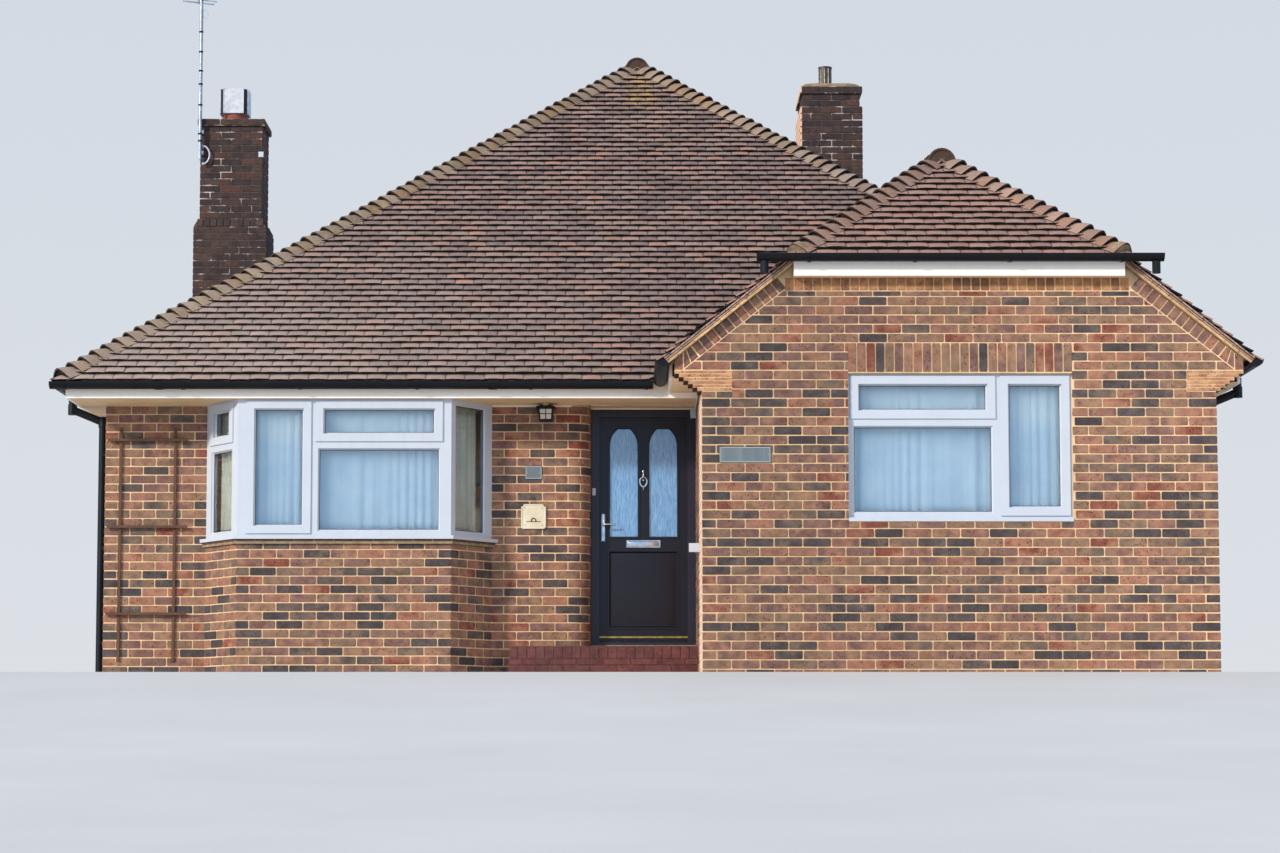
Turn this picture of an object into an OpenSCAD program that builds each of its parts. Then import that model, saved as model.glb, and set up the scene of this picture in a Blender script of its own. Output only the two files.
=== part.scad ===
// Brick bungalow with a hipped tiled roof, a half-hipped front wing and a canted bay.
// Millimetres. X = 0 is the middle of the main block and Y = 0 is the middle of its depth.
// The front faces -Y. Z = 0 is the lowest ground against the walls.

/* [Main block] */
// Outside width of the main block
main_w = 9225; // [8500:25:10500]
// Outside depth of the main block, from the front wall to the rear wall
main_l = 10800; // [10000:25:12500]
// Thickness of the outside walls
wall_t = 275; // [215:5:350]
// Height of the finished floor above the lowest ground
floor_h = 300; // [225:5:375]
// Height of a room, from the floor to the ceiling
room_h = 2400; // [2300:10:2400]
// Thickness of the ceiling
ceiling_t = 30; // [15:1:60]

/* [Wing] */
// Outside width of the front wing
wing_w = 4125; // [3600:25:4500]
// How far the wing stands in front of the main block
wing_out = 1690; // [1200:10:2400]

/* [Roof] */
// Pitch of every slope
pitch = 38.5; // [36:0.5:42]
// Height of the tiles at the eaves
eave_z = 2530; // [2510:5:2700]
// Thickness of the roof covering, square to the slope
roof_t = 60; // [45:1:80]
// Depth of the drip edge at the eaves
drip_t = 8; // [6:1:20]
// Overhang of the tiles beyond the side and rear walls
side_over = 310; // [250:5:380]
// Overhang of the tiles beyond the main front wall
front_over = 530; // [500:5:650]
// Overhang of the verge beyond the wing wall
verge_over = 50; // [30:1:90]
// Height of the tiles at the eaves of the half hip
half_hip_z = 3360; // [3200:5:3600]
// Overhang of the half hip beyond the wing wall
half_hip_over = 150; // [120:5:200]
// Radius of the half-round ridge tiles
ridge_r = 120; // [90:1:140]
// How far the ridge tiles sit down over the ridge
ridge_lap = 60; // [40:1:80]
// Width of a bonnet hip line
bonnet_w = 230; // [180:1:280]
// Height of a bonnet hip line over the slopes
bonnet_h = 55; // [35:1:80]
// Width of the crown of a bonnet hip line
bonnet_top = 92; // [60:1:120]

/* [Eaves] */
// Height of the underside of the soffits
soffit_z = 2365; // [2340:1:2400]
// How much higher the soffit beside the wing lies
wing_soffit_up = 45; // [20:1:60]
// Thickness of the soffit boards
soffit_t = 12; // [9:1:18]
// Thickness of the fascia boards
fascia_t = 25; // [18:1:35]
// Distance from the drip edge back to the fascia
fascia_in = 50; // [40:1:70]
// Depth of the fascia under the half hip
half_hip_fascia = 174; // [120:1:220]
// Outside radius of the half-round gutters
gutter_r = 60; // [50:1:70]
// Thickness of the gutters
gutter_t = 4; // [3:1:8]
// Gap under the drip edge down to the gutter rim
gutter_drop = 2; // [0:1:10]
// How much lower the gutters of the main block hang than those of the wing
main_gutter_low = 27; // [0:1:40]
// How far the half hip gutter runs past its fascia at each end
half_hip_gutter_past = 300; // [100:10:400]
// Length of the spouts under the ends of the half hip gutter
spout_l = 95; // [60:5:120]
// Outside radius of the downpipes
pipe_r = 34; // [30:1:40]
// Gap between a downpipe and the wall
pipe_gap = 20; // [10:1:40]
// Length of the sockets round the bends of a downpipe
socket_h = 90; // [70:5:120]
// Turn of each bend of a downpipe
pipe_turn = 67.5; // [45:2.5:75]
// Drop from the soffit to the upper bend of a downpipe
pipe_knee = 24; // [22:1:80]
// Distance of a downpipe behind the front corner of its wall
wing_pipe_back = 650; // [200:10:1400]
// Distance of the main block's downpipe behind the front wall
main_pipe_back = 136; // [60:2:400]
// Thickness of the clips round a downpipe
clip_t = 6; // [3:1:10]
// Height of the clips round a downpipe
clip_h = 30; // [20:1:50]
// Gap left between boards and gutters that meet at a corner
joint_gap = 2; // [1:1:5]

/* [Corbels] */
// Height of the underside of the tile corbels
corbel_z = 2266; // [2150:2:2300]
// Number of tile courses in a corbel
corbel_courses = 6; // [4:1:7]
// Thickness of a tile course with its joint
corbel_course = 28; // [25:1:30]
// How far a corbel steps out past the wall
corbel_out = 222; // [180:1:240]
// How far a corbel is bonded into the wall
corbel_in = 237; // [150:1:300]

/* [Bay] */
// Distance of the bay from the left corner of the front wall
bay_in = 872.5; // [700:2.5:1100]
// Width of the wall between the bay and the doorway
pier_w = 850; // [700:10:1000]
// Width of each canted side of the bay, measured along the wall
bay_side = 325; // [250:5:400]
// How far the bay stands out
bay_out = 430; // [350:5:450]
// Thickness of the bay walls under the window
bay_wall_t = 215; // [150:5:250]
// Height of the top of the bay walls
bay_wall_h = 1130; // [1000:5:1200]
// Height of the tile sill on the bay walls
bay_sill_h = 40; // [30:1:60]
// How far the tile sill stands out
bay_sill_out = 25; // [15:1:40]

/* [Windows] */
// Depth of the window frames
frame_d = 70; // [55:1:80]
// Distance of the window frames behind the wall face
frame_set = 35; // [20:1:60]
// Face width of the frame round a fixed light
frame_w = 40; // [30:1:60]
// Thickness of the glass
glass_t = 24; // [10:1:28]
// Width of the frame that shows round a sash
sash_edge = 18; // [10:1:30]
// Face width of a sash
sash_w = 65; // [45:1:75]
// How far a sash stands proud of its frame
sash_proud = 12; // [8:1:20]
// Height of the window sills
sill_h = 30; // [25:1:50]
// How far the window sills stand out past the frame
sill_out = 45; // [30:1:60]
// Left side of the wing window, from the wing's left wall
wing_window_in = 1170; // [900:5:1300]
// Width of the wing window
wing_window_w = 1800; // [1500:10:1900]
// Height of the underside of the wing window
wing_window_z = 1215; // [1100:5:1300]
// Height of the wing window
wing_window_h = 1195; // [1000:5:1250]
// Width of the left part of the wing window
wing_split = 1204; // [1000:2:1300]
// Height of the vents at the top of the larger windows
vent_h = 382; // [300:2:450]
// Width of the narrow sash at the left of the bay
bay_split = 641; // [550:1:750]
// Face width of the corner posts of the bay
post_w = 55; // [40:1:70]
// Face width of the slim post beside the right side of the bay
slim_post_w = 15; // [10:1:30]
// Width of the frame where a canted side meets the wall
cant_edge = 47; // [40:1:60]
// Width of the rear and side windows
rear_window_w = 1200; // [900:10:1300]
// Distance of the outer rear windows from the corners, to their middle
rear_window_in = 1845; // [1500:5:2200]
// Distance of the side windows from the corners, to their middle
side_window_in = 2160; // [1800:5:2600]

/* [Door] */
// Width of the door frame
door_w = 917; // [880:1:960]
// Height of the door frame
door_h = 2060; // [2000:5:2060]
// Distance of the door frame behind the front wall
door_set = 200; // [180:1:200]
// Radius of the rounded brick corner beside the door
corner_r = 160; // [100:1:180]
// Face width of the door frame
door_frame_w = 58; // [45:1:70]
// Depth of the rebate lip in front of the door leaf
door_stop = 22; // [15:1:25]
// How far the rebate lip covers the leaf
door_lip = 12; // [8:1:16]
// Thickness of the door leaf
leaf_t = 44; // [40:1:44]
// Running gap round the door leaf
door_gap = 6; // [5:0.5:8]
// Height of the threshold
threshold_h = 30; // [20:1:40]
// Width of each glazed light in the door
light_w = 252; // [220:1:260]
// Height of the glazed lights
light_h = 950; // [850:5:1000]
// Height of the curved shoulders of the lights
shoulder_rise = 148; // [100:1:180]
// Width of the curved shoulders of the lights
shoulder_run = 70; // [50:1:90]
// Width of the rail between the lights
muntin_w = 90; // [70:1:130]
// Height of the underside of the lights over the bottom of the leaf
light_z = 903; // [850:1:950]
// Height of the underside of the lower panel over the bottom of the leaf
panel_z = 116; // [90:1:150]
// Height of the lower panel
panel_h = 660; // [550:5:690]
// Depth of the lower panel behind the face of the leaf
panel_in = 6; // [3:1:10]
// Width of the moulding round the lights and the panel
bead_w = 14; // [10:1:18]
// How far the moulding stands proud of the leaf
bead_t = 8; // [5:1:10]
// Radius of the hinge barrels
hinge_r = 8; // [6:1:10]
// Length of one hinge
hinge_l = 100; // [75:5:120]
// Width of each leaf of a hinge
hinge_w = 34; // [25:1:40]
// Gap between a hinge barrel and the inner face of the wall
hinge_gap = 1; // [1:0.5:3]
// Height of the lowest and the highest hinge, from their end of the door
hinge_in = 250; // [180:5:400]

/* [Door furniture] */
// Distance of the handles from the left edge of the leaf
handle_in = 45; // [35:1:60]
// Height of the handle spindle over the bottom of the leaf
handle_z = 1010; // [900:5:1100]
// Width of a handle plate
handle_plate_w = 32; // [24:1:40]
// Height of a handle plate
handle_plate_h = 240; // [180:5:260]
// How far a handle plate reaches below its lever
handle_plate_low = 144; // [100:2:170]
// Thickness of a handle plate
plate_t = 8; // [5:1:12]
// Length of a lever
lever_l = 120; // [90:5:140]
// Thickness of a lever
lever_t = 18; // [14:1:22]
// Room for the fingers behind a lever
lever_out = 36; // [28:1:45]
// Width of the letterplate
letter_w = 300; // [250:5:320]
// Height of the letterplate
letter_h = 70; // [50:1:90]
// Gap between the letterplate and the lights over it
letter_gap = 25; // [20:1:40]
// Height of the knocker over the bottom of the lights
knocker_z = 492; // [400:2:600]
// Radius of the knocker
knocker_r = 30; // [20:1:30]
// How far the knocker stands out
knocker_out = 30; // [20:1:40]

/* [Step] */
// How far the brick step stands out from the front wall
step_out = 330; // [250:5:400]
// Gap between the bay and the step
step_gap = 170; // [100:10:400]
// Height of the step
step_h = 268; // [200:1:290]

/* [Left chimney] */
// Width of the left chimney below its shoulder
left_stack_w = 800; // [700:5:850]
// Depth of the left chimney below its shoulder
left_stack_d = 650; // [600:5:800]
// How far the left chimney stands out from the side wall
left_stack_out = 278; // [200:1:300]
// Height of the shoulder
shoulder_z = 5170; // [4900:5:5300]
// Height of the shoulder course
shoulder_h = 100; // [75:5:150]
// Width of the left chimney over its shoulder
left_neck_w = 680; // [600:5:750]
// Depth of the left chimney over its shoulder
left_neck_d = 550; // [500:5:600]
// Height of the top of the left chimney
left_stack_top = 6390; // [6200:10:6600]
// Radius of the clay pot
pot_r = 145; // [110:1:160]
// Thickness of the clay pot
pot_t = 25; // [15:1:40]
// Height of the clay pot
pot_h = 100; // [80:1:400]
// Side of the square metal cowl
cowl_w = 320; // [280:5:350]
// Height of the metal cowl
cowl_h = 280; // [200:5:350]
// Thickness of the metal of the cowl
cowl_t = 4; // [3:1:8]
// Width of each wind plate of the cowl
cowl_plate_w = 230; // [180:2:250]

/* [Right chimney] */
// Left side of the right chimney, from the middle of the main block
right_stack_x = 1830; // [1700:10:2000]
// Width of the right chimney
right_stack_w = 680; // [600:5:800]
// Gap between the right chimney and the hip behind it
hip_gap = 657.5; // [400:2.5:900]
// Depth of the right chimney
right_stack_d = 870; // [700:5:950]
// Height of the top of the right chimney's body
right_stack_top = 6525; // [6400:5:6700]
// Width of an oversailing course beyond the brickwork
oversail = 28; // [15:1:45]
// Height of one brick course
course = 75; // [70:1:80]
// Number of brick courses in the neck under the cap
neck_courses = 2; // [1:4]
// Height of the mortar flaunching
flaunch_h = 60; // [40:5:100]
// Radius of the metal flue
flue_r = 72; // [55:1:80]
// Radius of the neck under the flue and of the opening at its head
flue_neck_r = 56; // [40:1:60]
// Height of the neck under the flue
flue_neck_h = 36; // [20:1:60]
// How far the rim at the head of the flue stands out
flue_rim = 6; // [3:1:12]
// Height of the rim at the head of the flue
flue_rim_h = 18; // [10:1:30]
// Height of the metal flue
flue_h = 260; // [200:10:400]

/* [Aerial] */
// Radius of the aerial mast
mast_r = 19; // [15:1:25]
// Height of the top of the mast
mast_top = 7780; // [7600:10:8200]
// Height of the foot of the mast
mast_foot = 5920; // [5700:10:6000]
// Gap between the mast and the brickwork
mast_gap = 35; // [30:1:60]
// Height of each strap bracket of the mast
bracket_h = 40; // [30:1:60]
// Distance of the lower and the upper bracket from the ends of the brickwork beside the mast
bracket_in = 60; // [40:5:150]
// Length of the aerial boom
boom_l = 1000; // [700:10:1300]
// Height of the boom under the top of the mast
boom_drop = 70; // [50:5:120]
// Thickness of the boom
boom_t = 24; // [15:1:30]
// Direction in which the boom points, from straight ahead towards the right
boom_turn = 25; // [0:5:90]
// Number of cross elements on the boom
elements = 9; // [5:1:14]
// Length of the longest cross element
element_l = 360; // [250:10:450]
// How much shorter each cross element is than the one behind it
element_step = 16; // [5:1:20]
// Thickness of a cross element
element_t = 12; // [6:1:14]

/* [Fittings] */
// Middle of the porch lantern, from the wing's left wall
lantern_x = 1300; // [1200:5:1400]
// Width of the porch lantern
lantern_w = 130; // [100:1:160]
// Height of the porch lantern
lantern_h = 130; // [110:1:200]
// Width of the cap of the porch lantern
lantern_cap_w = 84; // [60:1:110]
// Height of the cap of the porch lantern
lantern_cap_h = 22; // [15:1:40]
// How much narrower the porch lantern is at its foot, at each side
lantern_taper = 8; // [3:1:20]
// Width of the arm that holds the porch lantern
lantern_arm = 44; // [24:1:60]
// Gap between the porch lantern and the wall
lantern_gap = 40; // [25:1:80]
// Gap between the soffit and the porch lantern
lantern_drop = 20; // [10:1:40]
// Thickness of the name and number plates
sign_t = 12; // [8:1:20]
// Width of the number plate
number_w = 140; // [120:1:200]
// Height of the number plate
number_h = 112; // [90:1:150]
// Left side of the number plate, from the doorway
number_in = 560; // [400:5:600]
// Height of the underside of the number plate
number_z = 1723; // [1600:1:1800]
// Width and height of the cream plaque
plaque_w = 215; // [180:1:240]
// Thickness of the cream plaque
plaque_t = 20; // [12:1:30]
// Left side of the cream plaque, from the doorway
plaque_in = 597; // [400:1:620]
// Height of the underside of the cream plaque
plaque_z = 1290; // [1100:1:1450]
// Width of the slate name plate
name_w = 410; // [350:5:450]
// Height of the slate name plate
name_h = 125; // [100:1:150]
// Left side of the name plate, from the corner of the wing
name_in = 136; // [100:1:300]
// Height of the underside of the name plate
name_z = 1688; // [1600:1:1800]
// Width and height of the key safe on the wing
key_safe_w = 72; // [60:1:90]
// How far the key safe stands out
key_safe_out = 90; // [60:1:100]
// Height of the underside of the key safe
key_safe_z = 1030; // [900:5:1200]
// Width of the sensor beside the head of the door
sensor_w = 50; // [40:1:60]
// Height of the sensor
sensor_h = 85; // [60:1:100]
// Height of the bell push
bell_h = 62; // [40:1:80]
// Width of the bell push
bell_w = 28; // [20:1:35]
// Height of the underside of the bell push
bell_z = 1600; // [1400:5:1700]
// Height of the top of the trellis
trellis_top = 2165; // [2000:5:2300]
// Height of the foot of the trellis
trellis_foot = 150; // [50:10:400]
// Distance of the trellis from the left corner of the front wall
trellis_in = 122; // [60:1:200]
// Width between the uprights of the trellis
trellis_w = 470; // [350:5:560]
// How far the rails of the trellis run past the uprights
trellis_past = 100; // [50:5:115]
// Drop from the top of the trellis to its first rail
rail_drop = 95; // [50:5:200]
// Distance between the rails of the trellis
rail_step = 750; // [500:10:900]
// Thickness of the trellis laths
lath = 22; // [15:1:30]
// Thickness of the net curtains
curtain_t = 40; // [20:1:60]
// Gap between a window frame and its net curtain
curtain_gap = 30; // [10:1:60]

/* [Hidden] */
$fn = 32;

brick_color = [0.55, 0.32, 0.24];
tile_color = [0.47, 0.36, 0.33];
white = [0.93, 0.93, 0.92];
black = [0.08, 0.08, 0.09];
door_color = [0.12, 0.09, 0.12];
metal_color = [0.75, 0.76, 0.78];
clay_color = [0.62, 0.35, 0.25];
mortar_color = [0.72, 0.68, 0.6];
glass_color = [0.6, 0.72, 0.8, 0.5];
net_color = [0.93, 0.93, 0.9];
wood_color = [0.35, 0.24, 0.17];
slate_color = [0.3, 0.33, 0.36];
plaque_color = [0.85, 0.8, 0.62];

far = 20000;
pipe_sides = 12;
shoulder_steps = 8;
eps = 1;
x_right = main_w / 2;
x_left = -x_right;
y_front = -main_l / 2;
y_rear = main_l / 2;
wing_x = x_right - wing_w;
y_wing = y_front - wing_out;

slope = tan(pitch);
roof_v = roof_t / cos(pitch);
eave_x = x_right + side_over;
eave_front = y_front - front_over;
eave_rear = y_rear + side_over;
wing_eave_x = wing_x - side_over;
wing_mid = (wing_eave_x + eave_x) / 2;
wing_half = (eave_x - wing_eave_x) / 2;
verge_y = y_wing - verge_over;
half_hip_y = y_wing - half_hip_over;
half_hip_run = (half_hip_z - eave_z) / slope;
wing_ridge_y = half_hip_y + wing_half - half_hip_run;
wing_join_y = eave_front + wing_half;
main_ridge_z = eave_z + eave_x * slope;
wing_ridge_z = eave_z + wing_half * slope;
ridge_front = eave_front + eave_x;
ridge_rear = eave_rear - eave_x;

fascia_x = eave_x - fascia_in;
fascia_front = eave_front + fascia_in;
fascia_rear = eave_rear - fascia_in;
wing_fascia_x = wing_eave_x + fascia_in;
corbel_back = y_wing + wall_t;
half_hip_fascia_y = half_hip_y + fascia_in;
half_hip_left = wing_eave_x + half_hip_run;
half_hip_right = eave_x - half_hip_run;
gutter_z = eave_z - drip_t - gutter_drop;
main_gutter_z = gutter_z - main_gutter_low;
half_hip_gutter_z = half_hip_z - drip_t - gutter_drop;

stack_y = ridge_rear + right_stack_x - hip_gap - right_stack_d;
left_stack_x = x_left - left_stack_out;
left_neck_x = left_stack_x + (left_stack_w - left_neck_w) / 2;
left_neck_y = stack_y + (left_stack_d - left_neck_d) / 2;

door_x = wing_x - door_w;
bay_left = x_left + bay_in;
bay_right = door_x - pier_w;
bay_front_w = bay_right - bay_left - 2 * bay_side;
bay_y = y_front - bay_out;
bay_frame_z = bay_wall_h + bay_sill_h + sill_h;
bay_cant = atan2(bay_out, bay_side);
bay_cant_l = norm([bay_out, bay_side]);

door_y = y_front + door_set;
door_top = floor_h + door_h;
leaf_x = door_x + door_frame_w;
leaf_left = leaf_x + door_gap;
leaf_w = door_w - 2 * door_frame_w - 2 * door_gap;
leaf_z = floor_h + threshold_h + door_gap;
leaf_h = door_top - door_frame_w - door_gap - leaf_z;
leaf_y = door_y + door_stop + door_gap;
hinge_x = leaf_left + leaf_w + door_gap / 2;
hinge_y = y_front + wall_t + hinge_r + hinge_gap;

corbel_h = corbel_courses * corbel_course;
rear_window_z = wing_window_z;
rear_window_h = wing_window_h;
rear_window_xs = [x_left + rear_window_in, 0, x_right - rear_window_in];
side_window_ys = [y_front + side_window_in, y_rear - side_window_in];

// Height of the underside of the wing's left slope at a place across the wing
function wing_under(x) = eave_z + (x - wing_eave_x) * slope - roof_v;

// A slab that rises at the roof's pitch from an eaves line, turned to face any side
module pitched_slab(turn, reach, z, top, thick) {
    rotate([0, 0, turn])
        translate([-reach, 0, z])
            rotate([0, -pitch, 0])
                translate([-far, -far, top - thick])
                    cube([2 * far, 2 * far, thick]);
}

// Everything below the underside of one slope
module below(turn, reach, z) {
    pitched_slab(turn, reach, z, -roof_t, far);
}

// The space under the roof covering
module under_roof() {
    intersection() {
        below(0, eave_x, eave_z);
        below(180, eave_x, eave_z);
        below(90, -eave_front, eave_z);
        below(-90, eave_rear, eave_z);
    }
    intersection() {
        below(0, -wing_eave_x, eave_z);
        below(180, eave_x, eave_z);
        below(90, -half_hip_y, half_hip_z);
        translate([-far, verge_y - half_hip_over, -far])
            cube([2 * far, wing_join_y - verge_y + half_hip_over, 2 * far]);
    }
}

// A box between two corners
module block(low, high) {
    translate(low)
        cube(high - low);
}

// A box that is trimmed to the underside of the roof
module wall(low, high) {
    intersection() {
        block([low[0], low[1], low[2]], [high[0], high[1], main_ridge_z]);
        under_roof();
    }
}

// One slope: its outline on plan, cut from a slab that rises from its eaves
module roof_slope(plan, turn, reach, z) {
    color(tile_color)
        difference() {
            intersection() {
                translate([0, 0, z - drip_t])
                    linear_extrude(main_ridge_z)
                        polygon(plan);
                pitched_slab(turn, reach, z, 0, roof_t);
            }
            chimney_shafts();
        }
}

module chimney_shafts() {
    block([left_stack_x, stack_y, 0], [left_stack_x + left_stack_w, stack_y + left_stack_d, main_ridge_z]);
    block([right_stack_x, stack_y, 0],
          [right_stack_x + right_stack_w, stack_y + right_stack_d, right_stack_top]);
}

module roof_front() {
    plan = [[-eave_x, eave_front], [wing_eave_x, eave_front], [wing_mid, wing_join_y], [0, ridge_front]];
    roof_slope(plan, 90, -eave_front, eave_z);
}

module roof_left() {
    plan = [[-eave_x, eave_front], [0, ridge_front], [0, ridge_rear], [-eave_x, eave_rear]];
    roof_slope(plan, 0, eave_x, eave_z);
}

module roof_rear() {
    plan = [[-eave_x, eave_rear], [0, ridge_rear], [eave_x, eave_rear]];
    roof_slope(plan, -90, eave_rear, eave_z);
}

// The right slope runs on over the wing, because both have the same eaves and pitch
module roof_right() {
    hip_foot = half_hip_right - verge_y + half_hip_y;
    plan = [[eave_x, eave_rear], [0, ridge_rear], [0, ridge_front], [wing_mid, wing_join_y],
            [wing_mid, wing_ridge_y], [hip_foot, verge_y], [eave_x, verge_y]];
    roof_slope(plan, 180, eave_x, eave_z);
}

module wing_roof_left() {
    hip_foot = half_hip_left + verge_y - half_hip_y;
    plan = [[wing_eave_x, eave_front], [wing_eave_x, verge_y], [hip_foot, verge_y],
            [wing_mid, wing_ridge_y], [wing_mid, wing_join_y]];
    roof_slope(plan, 0, -wing_eave_x, eave_z);
}

module wing_half_hip() {
    plan = [[half_hip_left, half_hip_y], [half_hip_right, half_hip_y], [wing_mid, wing_ridge_y]];
    roof_slope(plan, 90, -half_hip_y, half_hip_z);
}

// A half-round ridge line along Y, hollowed to sit on the two slopes
module ridge_line(x, y0, y1, ridge_z) {
    translate([x, y1, ridge_z - ridge_lap])
        rotate([90, 0, 0])
            linear_extrude(y1 - y0)
                difference() {
                    circle(ridge_r);
                    polygon([[0, ridge_lap + eps], [2 * ridge_r, ridge_lap + eps - 2 * ridge_r * slope],
                             [-2 * ridge_r, ridge_lap + eps - 2 * ridge_r * slope]]);
                }
}

module ridge_tiles() {
    color(tile_color) {
        ridge_line(0, ridge_front - ridge_r, ridge_rear + ridge_r, main_ridge_z);
        ridge_line(wing_mid, wing_ridge_y - ridge_r, wing_join_y - ridge_r, wing_ridge_z);
    }
}

// A line of bonnet tiles over a hip, from its foot on plan to its top; it ends level over the eaves
module hip_line(foot, top, z) {
    run = norm(top - foot);
    rise = (top[0] - foot[0]) * (top[0] > foot[0] ? 1 : -1) * slope;
    lean = atan2(rise, run);
    side = atan(slope / sqrt(2));
    drop = bonnet_w / 2 * tan(side) * cos(lean);
    intersection() {
        translate([foot[0], foot[1], z])
            rotate([0, 0, atan2(top[1] - foot[1], top[0] - foot[0])])
                rotate([0, -lean, 0])
                    rotate([90, 0, 90])
                        linear_extrude(norm([run, rise]))
                            polygon([[0, 0], [bonnet_w / 2, -drop], [bonnet_w / 2, bonnet_h / 2 - drop],
                                     [bonnet_top / 2, bonnet_h], [-bonnet_top / 2, bonnet_h],
                                     [-bonnet_w / 2, bonnet_h / 2 - drop], [-bonnet_w / 2, -drop]]);
        block([-far, -far, z], [far, far, far]);
    }
}

module hip_tiles() {
    stop = ridge_r * 2;
    color(tile_color) {
        hip_line([-eave_x, eave_front], [-stop, ridge_front - stop], eave_z);
        hip_line([-eave_x, eave_rear], [-stop, ridge_rear + stop], eave_z);
        hip_line([eave_x, eave_rear], [stop, ridge_rear + stop], eave_z);
        hip_line([wing_mid - stop, wing_join_y + stop], [stop, ridge_front - stop],
                 wing_ridge_z + stop * slope);
        hip_line([half_hip_left, half_hip_y], [wing_mid - stop, wing_ridge_y - stop], half_hip_z);
        hip_line([half_hip_right, half_hip_y], [wing_mid + stop, wing_ridge_y - stop], half_hip_z);
    }
}

module floor_slab() {
    color(mortar_color)
        difference() {
            union() {
                block([x_left + wall_t, y_front + wall_t, 0], [x_right - wall_t, y_rear - wall_t, floor_h]);
                block([wing_x + wall_t, y_wing + wall_t, 0],
                      [x_right - wall_t, y_front + wall_t + eps, floor_h]);
                block([door_x, door_y, 0], [wing_x, y_front + wall_t + eps, floor_h]);
                linear_extrude(floor_h)
                    bay_plan(bay_wall_t, wall_t + eps);
            }
            chimney_shafts();
        }
}

module ceiling() {
    color(white)
        translate([0, 0, floor_h + room_h])
            linear_extrude(ceiling_t)
                difference() {
                    union() {
                        translate([x_left + wall_t, y_front + wall_t])
                            square([main_w - 2 * wall_t, main_l - 2 * wall_t]);
                        translate([wing_x + wall_t, y_wing + wall_t])
                            square([wing_w - 2 * wall_t, wing_out + eps]);
                    }
                    translate([left_stack_x, stack_y])
                        square([left_stack_w, left_stack_d]);
                    translate([right_stack_x, stack_y])
                        square([right_stack_w, right_stack_d]);
                }
}

// The bay on plan, set in by a thickness, and run back into the room by a depth
module bay_plan(inset, back) {
    side = inset / sin(bay_cant);
    corner = inset * tan(bay_cant / 2);
    front = [[bay_left + side, y_front], [bay_left + bay_side + corner, bay_y + inset],
             [bay_right - bay_side - corner, bay_y + inset], [bay_right - side, y_front]];
    room = [[bay_right - side, y_front + back], [bay_left + side, y_front + back]];
    polygon(back > 0 ? concat(front, room) : front);
}

// A band round the bay, between two outlines and two heights
module bay_band(outset, inset, z, h) {
    translate([0, 0, z])
        linear_extrude(h)
            difference() {
                bay_plan(-outset, 0);
                bay_plan(inset, eps);
            }
}

module bay_wall() {
    color(brick_color)
        linear_extrude(bay_wall_h)
            difference() {
                bay_plan(0, wall_t);
                bay_plan(bay_wall_t, wall_t + eps);
            }
}

// Tile courses on top of the bay walls, under the white sill
module bay_sill() {
    color(clay_color)
        bay_band(bay_sill_out, bay_wall_t, bay_wall_h, bay_sill_h);
}

module lintels() {
    color(brick_color) {
        wall([bay_left, y_front, soffit_z + soffit_t], [bay_right, y_front + wall_t, 0]);
        wall([door_x, y_front, door_top], [wing_x, y_front + wall_t, 0]);
    }
}

module front_wall_left() {
    color(brick_color)
        wall([x_left, y_front, 0], [bay_left, y_front + wall_t, 0]);
}

// The front wall between the bay and the door turns back to the door in a rounded corner
module door_corner_plan() {
    translate([bay_right, y_front])
        difference() {
            square([door_x - bay_right, wall_t]);
            translate([door_x - bay_right - corner_r, 0])
                difference() {
                    translate([0, -eps])
                        square([corner_r + eps, corner_r + eps]);
                    translate([0, corner_r])
                        circle(corner_r);
                }
        }
}

module front_wall_right() {
    color(brick_color)
        intersection() {
            linear_extrude(main_ridge_z)
                door_corner_plan();
            under_roof();
        }
}

module left_wall() {
    color(brick_color)
        difference() {
            wall([x_left, y_front + wall_t, 0], [x_left + wall_t, y_rear - wall_t, 0]);
            chimney_shafts();
            for (y = side_window_ys)
                side_opening(x_left, y);
        }
}

module right_wall() {
    color(brick_color)
        difference() {
            wall([x_right - wall_t, y_wing + wall_t, 0], [x_right, y_rear - wall_t, 0]);
            for (y = side_window_ys)
                side_opening(x_right - wall_t, y);
        }
}

module side_opening(x, y) {
    block([x - eps, y - rear_window_w / 2, rear_window_z],
          [x + wall_t + eps, y + rear_window_w / 2, rear_window_z + rear_window_h]);
}

module rear_wall() {
    color(brick_color)
        difference() {
            wall([x_left, y_rear - wall_t, 0], [x_right, y_rear, 0]);
            for (x = rear_window_xs)
                block([x - rear_window_w / 2, y_rear - wall_t - eps, rear_window_z],
                      [x + rear_window_w / 2, y_rear + eps, rear_window_z + rear_window_h]);
        }
}

module wing_left_wall() {
    color(brick_color)
        wall([wing_x, y_wing + wall_t, 0], [wing_x + wall_t, y_front + wall_t, 0]);
}

module wing_front_wall() {
    window_x = wing_x + wing_window_in;
    color(brick_color)
        difference() {
            wall([wing_x, y_wing, 0], [x_right, corbel_back, 0]);
            block([window_x, y_wing - eps, wing_window_z],
                  [window_x + wing_window_w, corbel_back + eps, wing_window_z + wing_window_h]);
            for (x = [wing_x - eps, x_right - corbel_in])
                block([x, y_wing - eps, corbel_z],
                      [x + corbel_in + eps, corbel_back + eps, corbel_z + corbel_h]);
        }
}

// One corbel of stepped tile courses, with the kneeler that carries the foot of the verge
module corbel() {
    step = corbel_out / corbel_courses;
    steps = [for (i = [0:corbel_courses - 1], j = [0, 1])
        [wing_x - (i + 1) * step, corbel_z + (i + j) * corbel_course]];
    tip = wing_x - corbel_out;
    top = corbel_z + corbel_h;
    outline = concat([[wing_x + corbel_in, top], [wing_x + corbel_in, corbel_z]], steps,
        [[tip, wing_under(tip) - eps], [wing_x, wing_under(wing_x) - eps], [wing_x, top]]);
    translate([0, corbel_back, 0])
        rotate([90, 0, 0])
            linear_extrude(wall_t)
                polygon(outline);
}

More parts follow.
